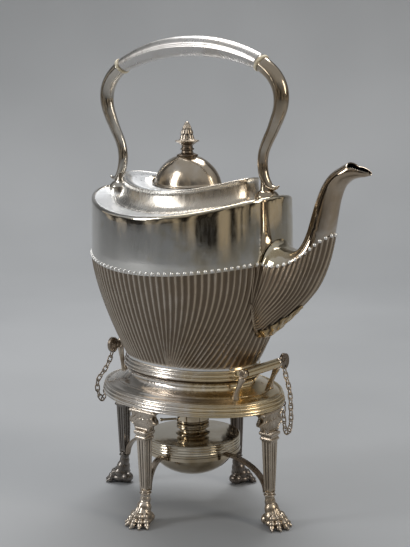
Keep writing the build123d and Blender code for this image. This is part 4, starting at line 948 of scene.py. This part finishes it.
def collar(columns=900, rows=46, wall=1.3):
    """The collar's pierced wall, with its relief, the dirt in it, a painted shadow line along its top and painted
    shade on its inner wall.
    """
    t = circle(columns)
    v = np.linspace(0, 1, rows)[:, None]
    flare = v**2.3
    seam = bell(v / 0.07)
    waist = 1.3 * np.sin(pi * unit(v * 1.1))
    a = COLLAR_A + FLARE_A * flare + 0.35 * seam - waist
    b = COLLAR_B + FLARE_B * flare + 0.35 * seam - waist
    z = COLLAR_TOP_Z - COLLAR_DROP * v**0.75
    up = v * COLLAR_UP
    chased = np.zeros((rows, columns))
    holes = np.zeros((rows, columns), bool)

    def across_from(angle):
        return ((t[None, :] - angle + pi) % (2 * pi) - pi) * COLLAR_MM_PER_RADIAN

    for angle in ORNAMENT_ANGLES:
        across = across_from(angle)
        for way in (1, -1):
            aside, above = across - way * SCROLL_ACROSS, up - SCROLL_UP
            spiral, turn = np.hypot(aside, above), np.arctan2(above, way * aside)
            chased += 0.40 * np.cos(spiral * 1.9 - turn) * bell(spiral / 4.6)
        leaf = np.abs(across) / (0.6 + 3.4 * np.sin(pi * unit((up - 1) / 11.5)))
        chased += 0.5 * bell(leaf) * (0.6 + 0.4 * np.cos(6 * up / 3.0 + 2.2 * np.abs(across)))
        for k in range(VENTS if angle in VENT_ANGLES else 0):
            turn = (2 * k + 1) * pi / VENTS
            near = np.hypot(across - VENTS_ACROSS * cos(turn), up - (VENTS_MIDDLE_UP + VENTS_UP * sin(turn)))
            holes |= near < VENT_RADIUS
            chased -= 0.35 * bell((near - 1.2) / 0.5)
    pit = np.zeros((rows, columns))
    for angle in RIVET_ANGLES:
        pit = np.maximum(pit, np.exp(-(np.hypot(across_from(angle), up - RIVET_UP) ** 4)))
    fade = unit(v / 0.12) * unit((1 - v) / 0.1)
    lift = 0.17 * chased * fade - 0.8 * pit
    both = np.concatenate([oval(t, a + lift, b + lift, z), oval(t, a - wall, b - wall, z)[::-1]])
    cut = np.concatenate([holes, holes[::-1]]).ravel()
    faces = [face for face in grid_faces(2 * rows, columns, True) if not all(cut[p] for p in face)]
    # The seam term paints a shadow line where the collar meets the foot, and the inner wall's 0.8 is painted shade
    outside = np.clip(0.10 - 0.5 * chased * fade + 1.1 * seam + pit, -0.3, 1.0)
    hollow = np.concatenate([outside, np.full((rows, columns), 0.8)]).ravel()
    return mesh_object("collar_chased", both.reshape(-1, 3), faces, hollow)


finish_piece(collar(), "stand", silvers["stand"], "stand_collar")


# Legs: scrolled head, square capital, fluted shaft, ringed ankle and clawed paw
def turned_to(mesh_points, angle, reach):
    """Points of a leg drawn facing +X, moved to its own place round the stand."""
    x, y, z = mesh_points[..., 0] + reach, mesh_points[..., 1], mesh_points[..., 2]
    c, s = cos(radians(angle)), sin(radians(angle))
    return np.stack([x * c - y * s, x * s + y * c, z], -1)


HEAD_SIDE = [
    (91.9, 12.6), (90.2, 13.0), (89.4, 12.0), (88.6, 10.7), (87.4, 10.2), (86.0, 11.0), (84.6, 12.4), (83.2, 13.1),
    (81.8, 12.6), (80.8, 11.0), (80.2, 9.4), (79.0, 8.0), (77.6, 7.2), (75.9, 6.7),
]
FLOWER_Z = 84.6


def leg_head(angle, reach, name):
    """A shield with scrolled sides and a chased flower between leaves, alike on both faces."""
    side = curve_through(HEAD_SIDE, 46)
    across = np.linspace(-1, 1, 57)
    faces_points, hollow = [], []
    for z, half in side:
        y = half * across
        r, turn = np.hypot(y, z - FLOWER_Z), np.arctan2(z - FLOWER_Z, y)
        flower = 0.75 * bell(r / 3.4) * (0.65 + 0.35 * np.cos(6 * turn)) + 0.4 * bell(r / 0.9)
        leaf_at = np.hypot((np.abs(y) - 7.2) / 3.0, (z - 84.2) / 3.6)
        leaves = 0.7 * bell(leaf_at) * (0.6 + 0.4 * np.cos(1.7 * (z - 84) + 1.4 * np.abs(y)))
        ridge = 0.7 * unit((np.abs(across) - 0.86) / 0.08) * unit((1.0 - np.abs(across)) / 0.04)
        top = 0.8 * bell((z - 90.6) / 0.8) + 0.5 * bell((z - 77.0) / 0.7)
        form = flower + leaves + ridge + top
        edge = unit((1 - np.abs(across)) / 0.05) ** 0.5
        depth = 3.0 * edge + form * edge
        faces_points.append(np.stack([depth, y, z + 0 * y], 1))
        hollow.append(np.clip(0.42 - 0.75 * form, -0.35, 1) * edge)
    front = np.array(faces_points)
    back = front[:, ::-1] * np.array([-1, 1, 1])
    loop = np.concatenate([front, back], 1)
    marks = np.concatenate([np.array(hollow), np.array(hollow)[:, ::-1]], 1)
    return grid(name, turned_to(loop, angle, reach), caps=True, cavity=marks)


SHAFT = [
    (75.9, 5.6), (75.2, 6.0), (74.2, 6.1), (73.4, 5.8), (72.6, 5.1), (71.6, 5.0), (70.6, 5.4), (69.6, 5.5),
    (69.0, 4.9), (68.2, 4.45), (60.0, 4.2), (50.0, 3.9), (40.0, 3.6), (31.0, 3.3), (27.6, 3.25),
]
CAPITAL_ROWS = 10


def leg_shaft(angle, reach, name):
    """A square tapering shaft with three flutes on each face, below a stepped capital."""
    capital = curve_through(SHAFT[:CAPITAL_ROWS], 44)
    levels = np.vstack([capital, curve_through(SHAFT[CAPITAL_ROWS - 1 :], 30)[1:]])
    t = np.linspace(-1, 1, 33)[:-1]
    groove = unit(np.cos(3 * pi * t + pi)) ** 0.7 * unit((0.86 - np.abs(t)) / 0.08)
    corner = 0.35 * unit((np.abs(t) - 0.9) / 0.1) ** 2
    rings, hollow = [], []
    for z, half in levels:
        fluted = unit((68.6 - z) / 1.2) * unit((z - 28.4) / 1.5)
        x, y = half - 0.6 * groove * fluted - corner, half * t
        ring = []
        for k in range(4):
            c, s = cos(k * pi / 2), sin(k * pi / 2)
            ring.append(np.stack([x * c - y * s, x * s + y * c, 0 * t + z], 1))
        rings.append(np.concatenate(ring))
        hollow.append(np.tile(np.clip(groove * fluted - 0.15, -0.3, 1), 4))
    return grid(name, turned_to(np.array(rings), angle, reach), caps=True, cavity=hollow)


STILL = Matrix.Identity(3)


def paw_mesh():
    """A clawed paw facing +X, with ankle rings, heel and five knuckled toes."""
    lumps = [
        ((0, 0, 26.9), (4.5, 4.5, 0.9), STILL),
        ((0, 0, 24.9), (5.0, 5.0, 1.15), STILL),
        ((0, 0, 23.0), (3.9, 3.9, 2.2), STILL),
        ((0.4, 0, 19.2), (4.2, 4.4, 5.4), STILL),
        ((2.0, 0, 13.4), (5.4, 6.2, 6.4), STILL),
        ((-2.4, 0, 4.6), (4.6, 5.8, 4.5), STILL),
        ((3.6, 0, 8.4), (6.4, 7.9, 6.2), STILL),
        ((4.6, 0, 4.0), (7.4, 8.4, 4.0), STILL),
    ]
    for k, spread in enumerate((-52, -26, 0, 26, 52)):
        way = Vector((cos(radians(spread)), sin(radians(spread)), 0))
        long = 1.0 - 0.10 * abs(k - 2) / 2
        face = Matrix.Rotation(radians(spread), 3, "Z")
        down = face @ Matrix.Rotation(radians(38), 3, "Y")
        steep = face @ Matrix.Rotation(radians(56), 3, "Y")
        for out, x, z, radii, turn in (
            (5.2, 1.8, 12.8, (5.6, 1.45, 1.7), steep),
            (8.6, 2.0, 8.4, (3.1, 2.45, 2.8), down),
            (11.4, 2.0, 4.9, (2.7, 2.35, 2.5), down),
            (13.0, 2.0, 2.4, (2.4, 2.2, 2.3), face),
            (15.4, 2.0, 1.7, (2.0, 1.0, 1.3), down),
        ):
            lumps.append((way * out * long + Vector((x, 0, z)), radii, turn))
    mesh = fused("paw_master", lumps, 0.42, 3)
    for vertex in mesh.vertices:
        vertex.co.z = max(vertex.co.z, 0.0)
    mark_hollows(mesh, 0.55)
    return mesh


paw = paw_mesh()
for place, (angle, reach) in LEG_REACH.items():
    # The rear and right legs, on the far side from the camera, take a darker silver as painted shade
    leg_finish = silvers["far_leg_shaded"] if place in ("rear", "right") else silvers["ornament"]
    own = paw.copy()
    own.transform(Matrix.Rotation(radians(angle), 4, "Z") @ Matrix.Translation((reach * MM, 0, 0)))
    own.shade_smooth()
    finish_piece(leg_head(angle, reach, f"head_{place}"), "stand", leg_finish, f"leg_head_{place}")
    finish_piece(leg_shaft(angle, reach, f"shaft_{place}"), "stand", leg_finish, f"leg_shaft_{place}")
    finish_piece(linked(f"paw_{place}", own), "stand", leg_finish, f"leg_paw_{place}")


# Burner: reeded reservoir, turned neck and the sleeve of the regulator; radius and height round each section
def turned_ring(name, outline, count, columns=96):
    """A turned ring of metal from the closed outline of its section."""
    return turned(name, [*outline, outline[0]], count, columns)


reservoir = [
    (10.0, 60.15), (22.0, 59.95), (33.0, 59.45), (36.6, 59.2), (37.8, 59.3), (38.5, 58.6), (38.2, 57.9),
    (37.7, 57.5), (38.3, 57.0), (38.6, 56.2), (38.2, 55.5), (37.7, 55.2), (38.3, 54.7), (38.6, 53.9), (38.2, 53.2),
    (37.7, 52.9), (38.2, 52.4), (38.4, 51.7), (37.6, 51.32), (33.2, 51.3), (33.0, 57.8), (10.4, 58.7),
]
finish_piece(turned_ring("reservoir", reservoir, 150, 160), "burner", silvers["reservoir"], "burner_top")
burner_neck = [
    (7.6, 58.0), (7.6, 60.2), (13.4, 60.2), (13.6, 60.7), (12.6, 61.3), (11.2, 61.9), (10.7, 63.0), (10.8, 64.0),
    (12.2, 64.6), (13.3, 65.2), (13.5, 65.9), (13.0, 66.6), (13.4, 67.2), (13.5, 68.1), (13.1, 68.8),
    (12.2, 69.35), (10.0, 69.4), (10.0, 80.6), (9.6, 81.1), (5.9, 81.1), (5.65, 80.7), (5.65, 58.0),
]
finish_piece(turned_ring("neck_of_burner", burner_neck, 170), "burner", silvers["burner"], "burner_neck")
sleeve = [
    (10.35, 69.8), (12.6, 69.8), (13.2, 70.2), (13.3, 70.8), (12.9, 71.4), (12.8, 72.2), (12.8, 75.4), (12.9, 76.1),
    (13.3, 76.7), (13.3, 77.6), (12.8, 78.3), (10.35, 78.4), (10.35, 74.0),
]
finish_piece(turned_ring("sleeve_of_regulator", sleeve, 120), "regulator", silvers["burner"], "regulator_sleeve")

# Hinge lugs on the stand: a ring round the pin on a tapering strut. A hinge is the pin's X and height, half
# the width between the lugs less their gap, and how far the strut's foot is from under the pin
HINGES = {"front": (70.0, 124.0, 19.4, -8.0), "rear": (-68.0, 127.0, 10.8, 5.0)}
LUG_GAP, LUG_WIDTH = 0.4, 3.8
PIN_BORE = 2.08
LUG_SECTION = [(PIN_BORE, 1.7), (2.9, 1.75), (3.55, 1.2), (3.8, 0.0), (3.55, -1.2), (2.9, -1.75), (PIN_BORE, -1.7)]
lug_section = [*curve_through(LUG_SECTION, 24), *((PIN_BORE, w) for w in (-1.0, 0.0, 1.0))]


def lug_strut(name, x, y, z, lean):
    """A strut that tapers from the plate up to the ring."""

    def section(share, _):
        t = circle(28)
        w = y + (1.7 + 1.1 * max(0.0, 1 - share / 0.7)) * np.sin(t)
        return w, (3.2 - 1.3 * sin(pi * min(1.0, share * 1.1))) * np.cos(t)

    path = [(x + lean, 102.8), (x + lean * 0.88, 107.0), (x + lean * 0.5, 114.0), (x + lean * 0.12, z - 3.0)]
    return swept_bar(name, curve_through(path, 30), section)


for place, (x, z, half, lean) in HINGES.items():
    for side, way in (("far", 1), ("near", -1)):
        y = way * (half + LUG_GAP + LUG_WIDTH / 2)
        replaced = [f"{place}_lugs"] if side == "far" else []
        strut = lug_strut(f"lug_{place}_{side}", x, y, z, lean)
        finish_piece(strut, "stand", silvers["ornament"], *replaced)
        t = circle(48)
        rings = [np.stack([x + r * np.cos(t), y + w + 0 * t, z + r * np.sin(t)], 1) for r, w in lug_section]
        ring = grid(f"lug_ring_{place}_{side}", rings, close_rows=True)
        finish_piece(ring, "stand", silvers["ornament"])


# Hinge pins, each with a knob of lobes
def pin_knob(place, x, z, half, way):
    """A pin along Y with a lobed knob at its outer end."""
    outer = half + LUG_GAP + LUG_WIDTH
    middle = way * (outer + 5.0)
    lumps = [((x, middle, z), (2.1, 3.3, 3.4), STILL), ((x, way * (outer + 1.3), z), (2.7, 1.2, 2.7), STILL)]
    for turn, size in ((90, 2.5), (30, 2.2), (150, 2.2), (-28, 1.9), (-152, 1.9)):
        lobe = (x, middle + 3.4 * cos(radians(turn)), z + 3.7 * sin(radians(turn)))
        lumps.append((lobe, (1.5, size, size), STILL))
    lumps.append(((x, way * (half - 6.0), z), (1.9, 14.0, 1.9), STILL))
    mesh = fused(f"knob_{place}", lumps, 0.36, 2)
    mark_hollows(mesh, 0.5)
    mesh.shade_smooth()
    finish_piece(linked(f"knob_{place}", mesh), f"{place}_pin", silvers["dark"], slot="fitting_silver")


# Chains of oblong links
LINK_PITCH, LINK_HALF_LENGTH, LINK_HALF_WIDTH, LINK_WIRE = 4.3, 3.0, 1.75, 0.55
LINK_POINTS, WIRE_POINTS = 28, 8


def link_points(middle, along, flat):
    """A link as rings of points round an oblong loop."""
    across = np.cross(along, flat)
    straight = LINK_HALF_LENGTH - LINK_HALF_WIDTH
    points = []
    for t in circle(LINK_POINTS):
        out = np.array([np.cos(t), np.sin(t)])
        u, w = LINK_HALF_WIDTH * out[0] + straight * np.sign(out[0]), LINK_HALF_WIDTH * out[1]
        for turn in circle(WIRE_POINTS):
            r = LINK_WIRE * np.cos(turn)
            rise = flat * LINK_WIRE * np.sin(turn)
            points.append(middle + along * (u + out[0] * r) + across * (w + out[1] * r) + rise)
    return points


def chain(name, route):
    """Links at even steps along a route, every other one turned a quarter."""
    points = curve_through(route, 400)
    length = np.linalg.norm(np.diff(points, axis=0), axis=1).sum()
    places = evenly(points, max(2, round(length / LINK_PITCH)) + 1)
    link_faces = grid_faces(LINK_POINTS, WIRE_POINTS, True)
    coordinates, faces = [], []
    for k, (first, second) in enumerate(zip(places, places[1:])):
        along = (second - first) / np.linalg.norm(second - first)
        side = np.cross(along, (0.3, 0.9, 0.1))
        side /= np.linalg.norm(side)
        flat = side if k % 2 else np.cross(along, side)
        faces += [tuple(len(coordinates) + v for v in face) for face in link_faces]
        coordinates += link_points((first + second) / 2, along, flat)
    return mesh_object(name, coordinates, faces)


FRONT_CHAIN = [
    (70.0, 30.0, 118.6), (71.2, 30.6, 112.0), (73.0, 32.1, 103.0), (74.0, 32.8, 95.0), (74.3, 33.0, 85.0),
    (74.4, 33.1, 75.0), (73.0, 32.6, 66.5), (70.6, 31.9, 65.2), (69.0, 31.5, 72.0), (68.4, 31.4, 80.0),
    (68.2, 31.4, 86.4),
]
REAR_CHAIN = [
    (-68.2, -22.0, 121.4), (-69.4, -25.0, 113.0), (-71.4, -29.4, 105.2), (-73.6, -33.6, 99.6), (-74.2, -34.6, 93.0),
    (-73.2, -33.8, 86.0), (-70.6, -32.6, 82.0), (-68.6, -31.6, 85.6),
]
for place, route, finish in (("front", FRONT_CHAIN, silvers["ornament"]), ("rear", REAR_CHAIN, silvers["dark"])):
    finish_piece(chain(f"links_{place}", route), "stand", finish, f"{place}_chain", slot="fitting_silver")
for place, (x, z, half, _) in HINGES.items():
    pin_knob(place, x, z, half, 1 if place == "front" else -1)

# Finishes of the CAD pieces that show as they are
BY_SLOT = {
    "kettle_silver": silvers["kettle"],
    "stand_silver": silvers["stand"],
    "fitting_silver": silvers["ornament"],
    "steel": dark_steel,
    "brass": sooted_brass,
    "ivory": ivory,
    "wick_cotton": cotton,
}
BY_START = {
    ("burner_", "regulator"): silvers["burner"],
    ("stretcher_", "front_pin", "rear_pin", "chain_eyelets"): silvers["dark"],
    ("front_barrel", "rear_saddle"): silvers["stand"],
    ("handle_socket", "lid_knuckle", "deck_hinge_leaf", "lid_hinge_pin"): silvers["handle"],
}
slot_of = {part["node"]: part["material_slot"] for part in frame["record"]["subparts"]}
for node, obj in frame["nodes"].items():
    own_finish = [finish for starts, finish in BY_START.items() if node.startswith(starts)]
    coat(obj, own_finish[0] if own_finish else BY_SLOT[slot_of[node]])

# Camera: bearing, height and roll as angles, its place in millimetres, and its lens
BEARING, RISE, ROLL = radians(40.39), radians(9.58), radians(-0.617)
CAMERA_PLACE = (589.1, -675.0, 341.7)
LENS, SENSOR_WIDTH = 75.21, 36
right = Vector((cos(BEARING), sin(BEARING), 0))
back = Vector((sin(BEARING) * cos(RISE), -cos(BEARING) * cos(RISE), sin(RISE)))
up = back.cross(right)
across = right * cos(ROLL) + up * sin(ROLL)
upward = up * cos(ROLL) - right * sin(ROLL)
camera = linked("camera", bpy.data.cameras.new("camera"))
camera.matrix_world = (
    Matrix.Translation(Vector(CAMERA_PLACE) * MM) @ Matrix((across, upward, back)).transposed().to_4x4()
)
camera.data.lens = LENS
camera.data.sensor_width = SENSOR_WIDTH
camera.data.sensor_fit = "AUTO"
camera.data.clip_start = 0.01
bpy.context.scene.camera = camera

# Colours of the surroundings; the metal mirrors the walls and the ceiling, and the camera sees plain grey
FLOOR_DARK, FLOOR_LIGHT = (0.275, 0.283, 0.292), (0.335, 0.343, 0.354)
WALL_DARK, WALL_LIGHT = (0.022, 0.019, 0.016), (0.56, 0.49, 0.39)
CEILING = (0.66, 0.68, 0.70)
SEEN_GREY = (0.46, 0.47, 0.485)
WORLD_STRENGTH = 0.66


def backdrop():
    """Floor and backdrop in one curved sheet, square to the camera; distance and height in metres."""
    profile = [(-2.2, 0), (-1.2, 0), (-0.4, 0), (0.5, 0), (0.9, 0)]
    profile += [(0.9 + 0.6 * sin(t), 0.6 - 0.6 * cos(t)) for t in np.linspace(0.05, pi / 2, 16)]
    profile += [(1.5, 1.2), (1.5, 2.6)]
    away = -Vector((back.x, back.y, 0)).normalized()
    rings = []
    for distance, height in profile:
        middle = away * distance + Vector((0, 0, height - 0.0001))
        rings.append([np.array(middle + right * s) / MM for s in np.linspace(-2.5, 2.5, 9)])
    sheet = grid("backdrop", rings, close_columns=False)
    material, tree, shader = start_material("backdrop_grey")
    tint = mix(tree, remap(tree, noise(tree, 1.6, 3.0), 0.3, 0.7), FLOOR_DARK, FLOOR_LIGHT)
    put(tree, tint, shader.inputs["Base Color"])
    shader.inputs["Roughness"].default_value = 0.75
    coat(sheet, material)


def area(name, where, size, power, colour=(1, 1, 1), target=(0, 0, 0.2)):
    """A soft lamp aimed at a point, sizes in metres."""
    data = bpy.data.lights.new(name, "AREA")
    data.shape = "RECTANGLE"
    data.size, data.size_y = size
    data.energy = power
    data.color = colour
    lamp = linked(name, data)
    lamp.location = where
    lamp.rotation_euler = (Vector(target) - Vector(where)).to_track_quat("-Z", "Y").to_euler()


def world():
    """A warm mottled room under a pale ceiling."""
    scene_world = bpy.data.worlds.new("studio")
    bpy.context.scene.world = scene_world
    scene_world.use_nodes = True
    tree = scene_world.node_tree
    tree.nodes.clear()
    out = tree.nodes.new("ShaderNodeOutputWorld")
    patches = remap(tree, noise(tree, 5.2, 3.0, (1, 1, 0.7), space="Generated"), 0.44, 0.60)
    height = remap(tree, coordinates(tree, "Generated")["Z"], 0.1, 0.75)
    room = mix(tree, height, mix(tree, patches, WALL_DARK, WALL_LIGHT), CEILING)
    seen = mix(tree, add(tree, "LightPath").outputs["Is Camera Ray"], room, SEEN_GREY)
    background = add(tree, "Background", {"Color": seen, "Strength": WORLD_STRENGTH})
    tree.links.new(background.outputs[0], out.inputs[0])


backdrop()
area("top_softbox", (-0.5, 0.6, 1.7), (1.2, 0.9), 26)
area("left_window", (-0.9, -1.3, 0.9), (0.35, 0.9), 9)
area("right_softbox", (1.5, 0.2, 1.0), (0.4, 0.9), 7, (1.0, 0.93, 0.82))
world()
bpy.context.scene.view_settings.view_transform = "Standard"
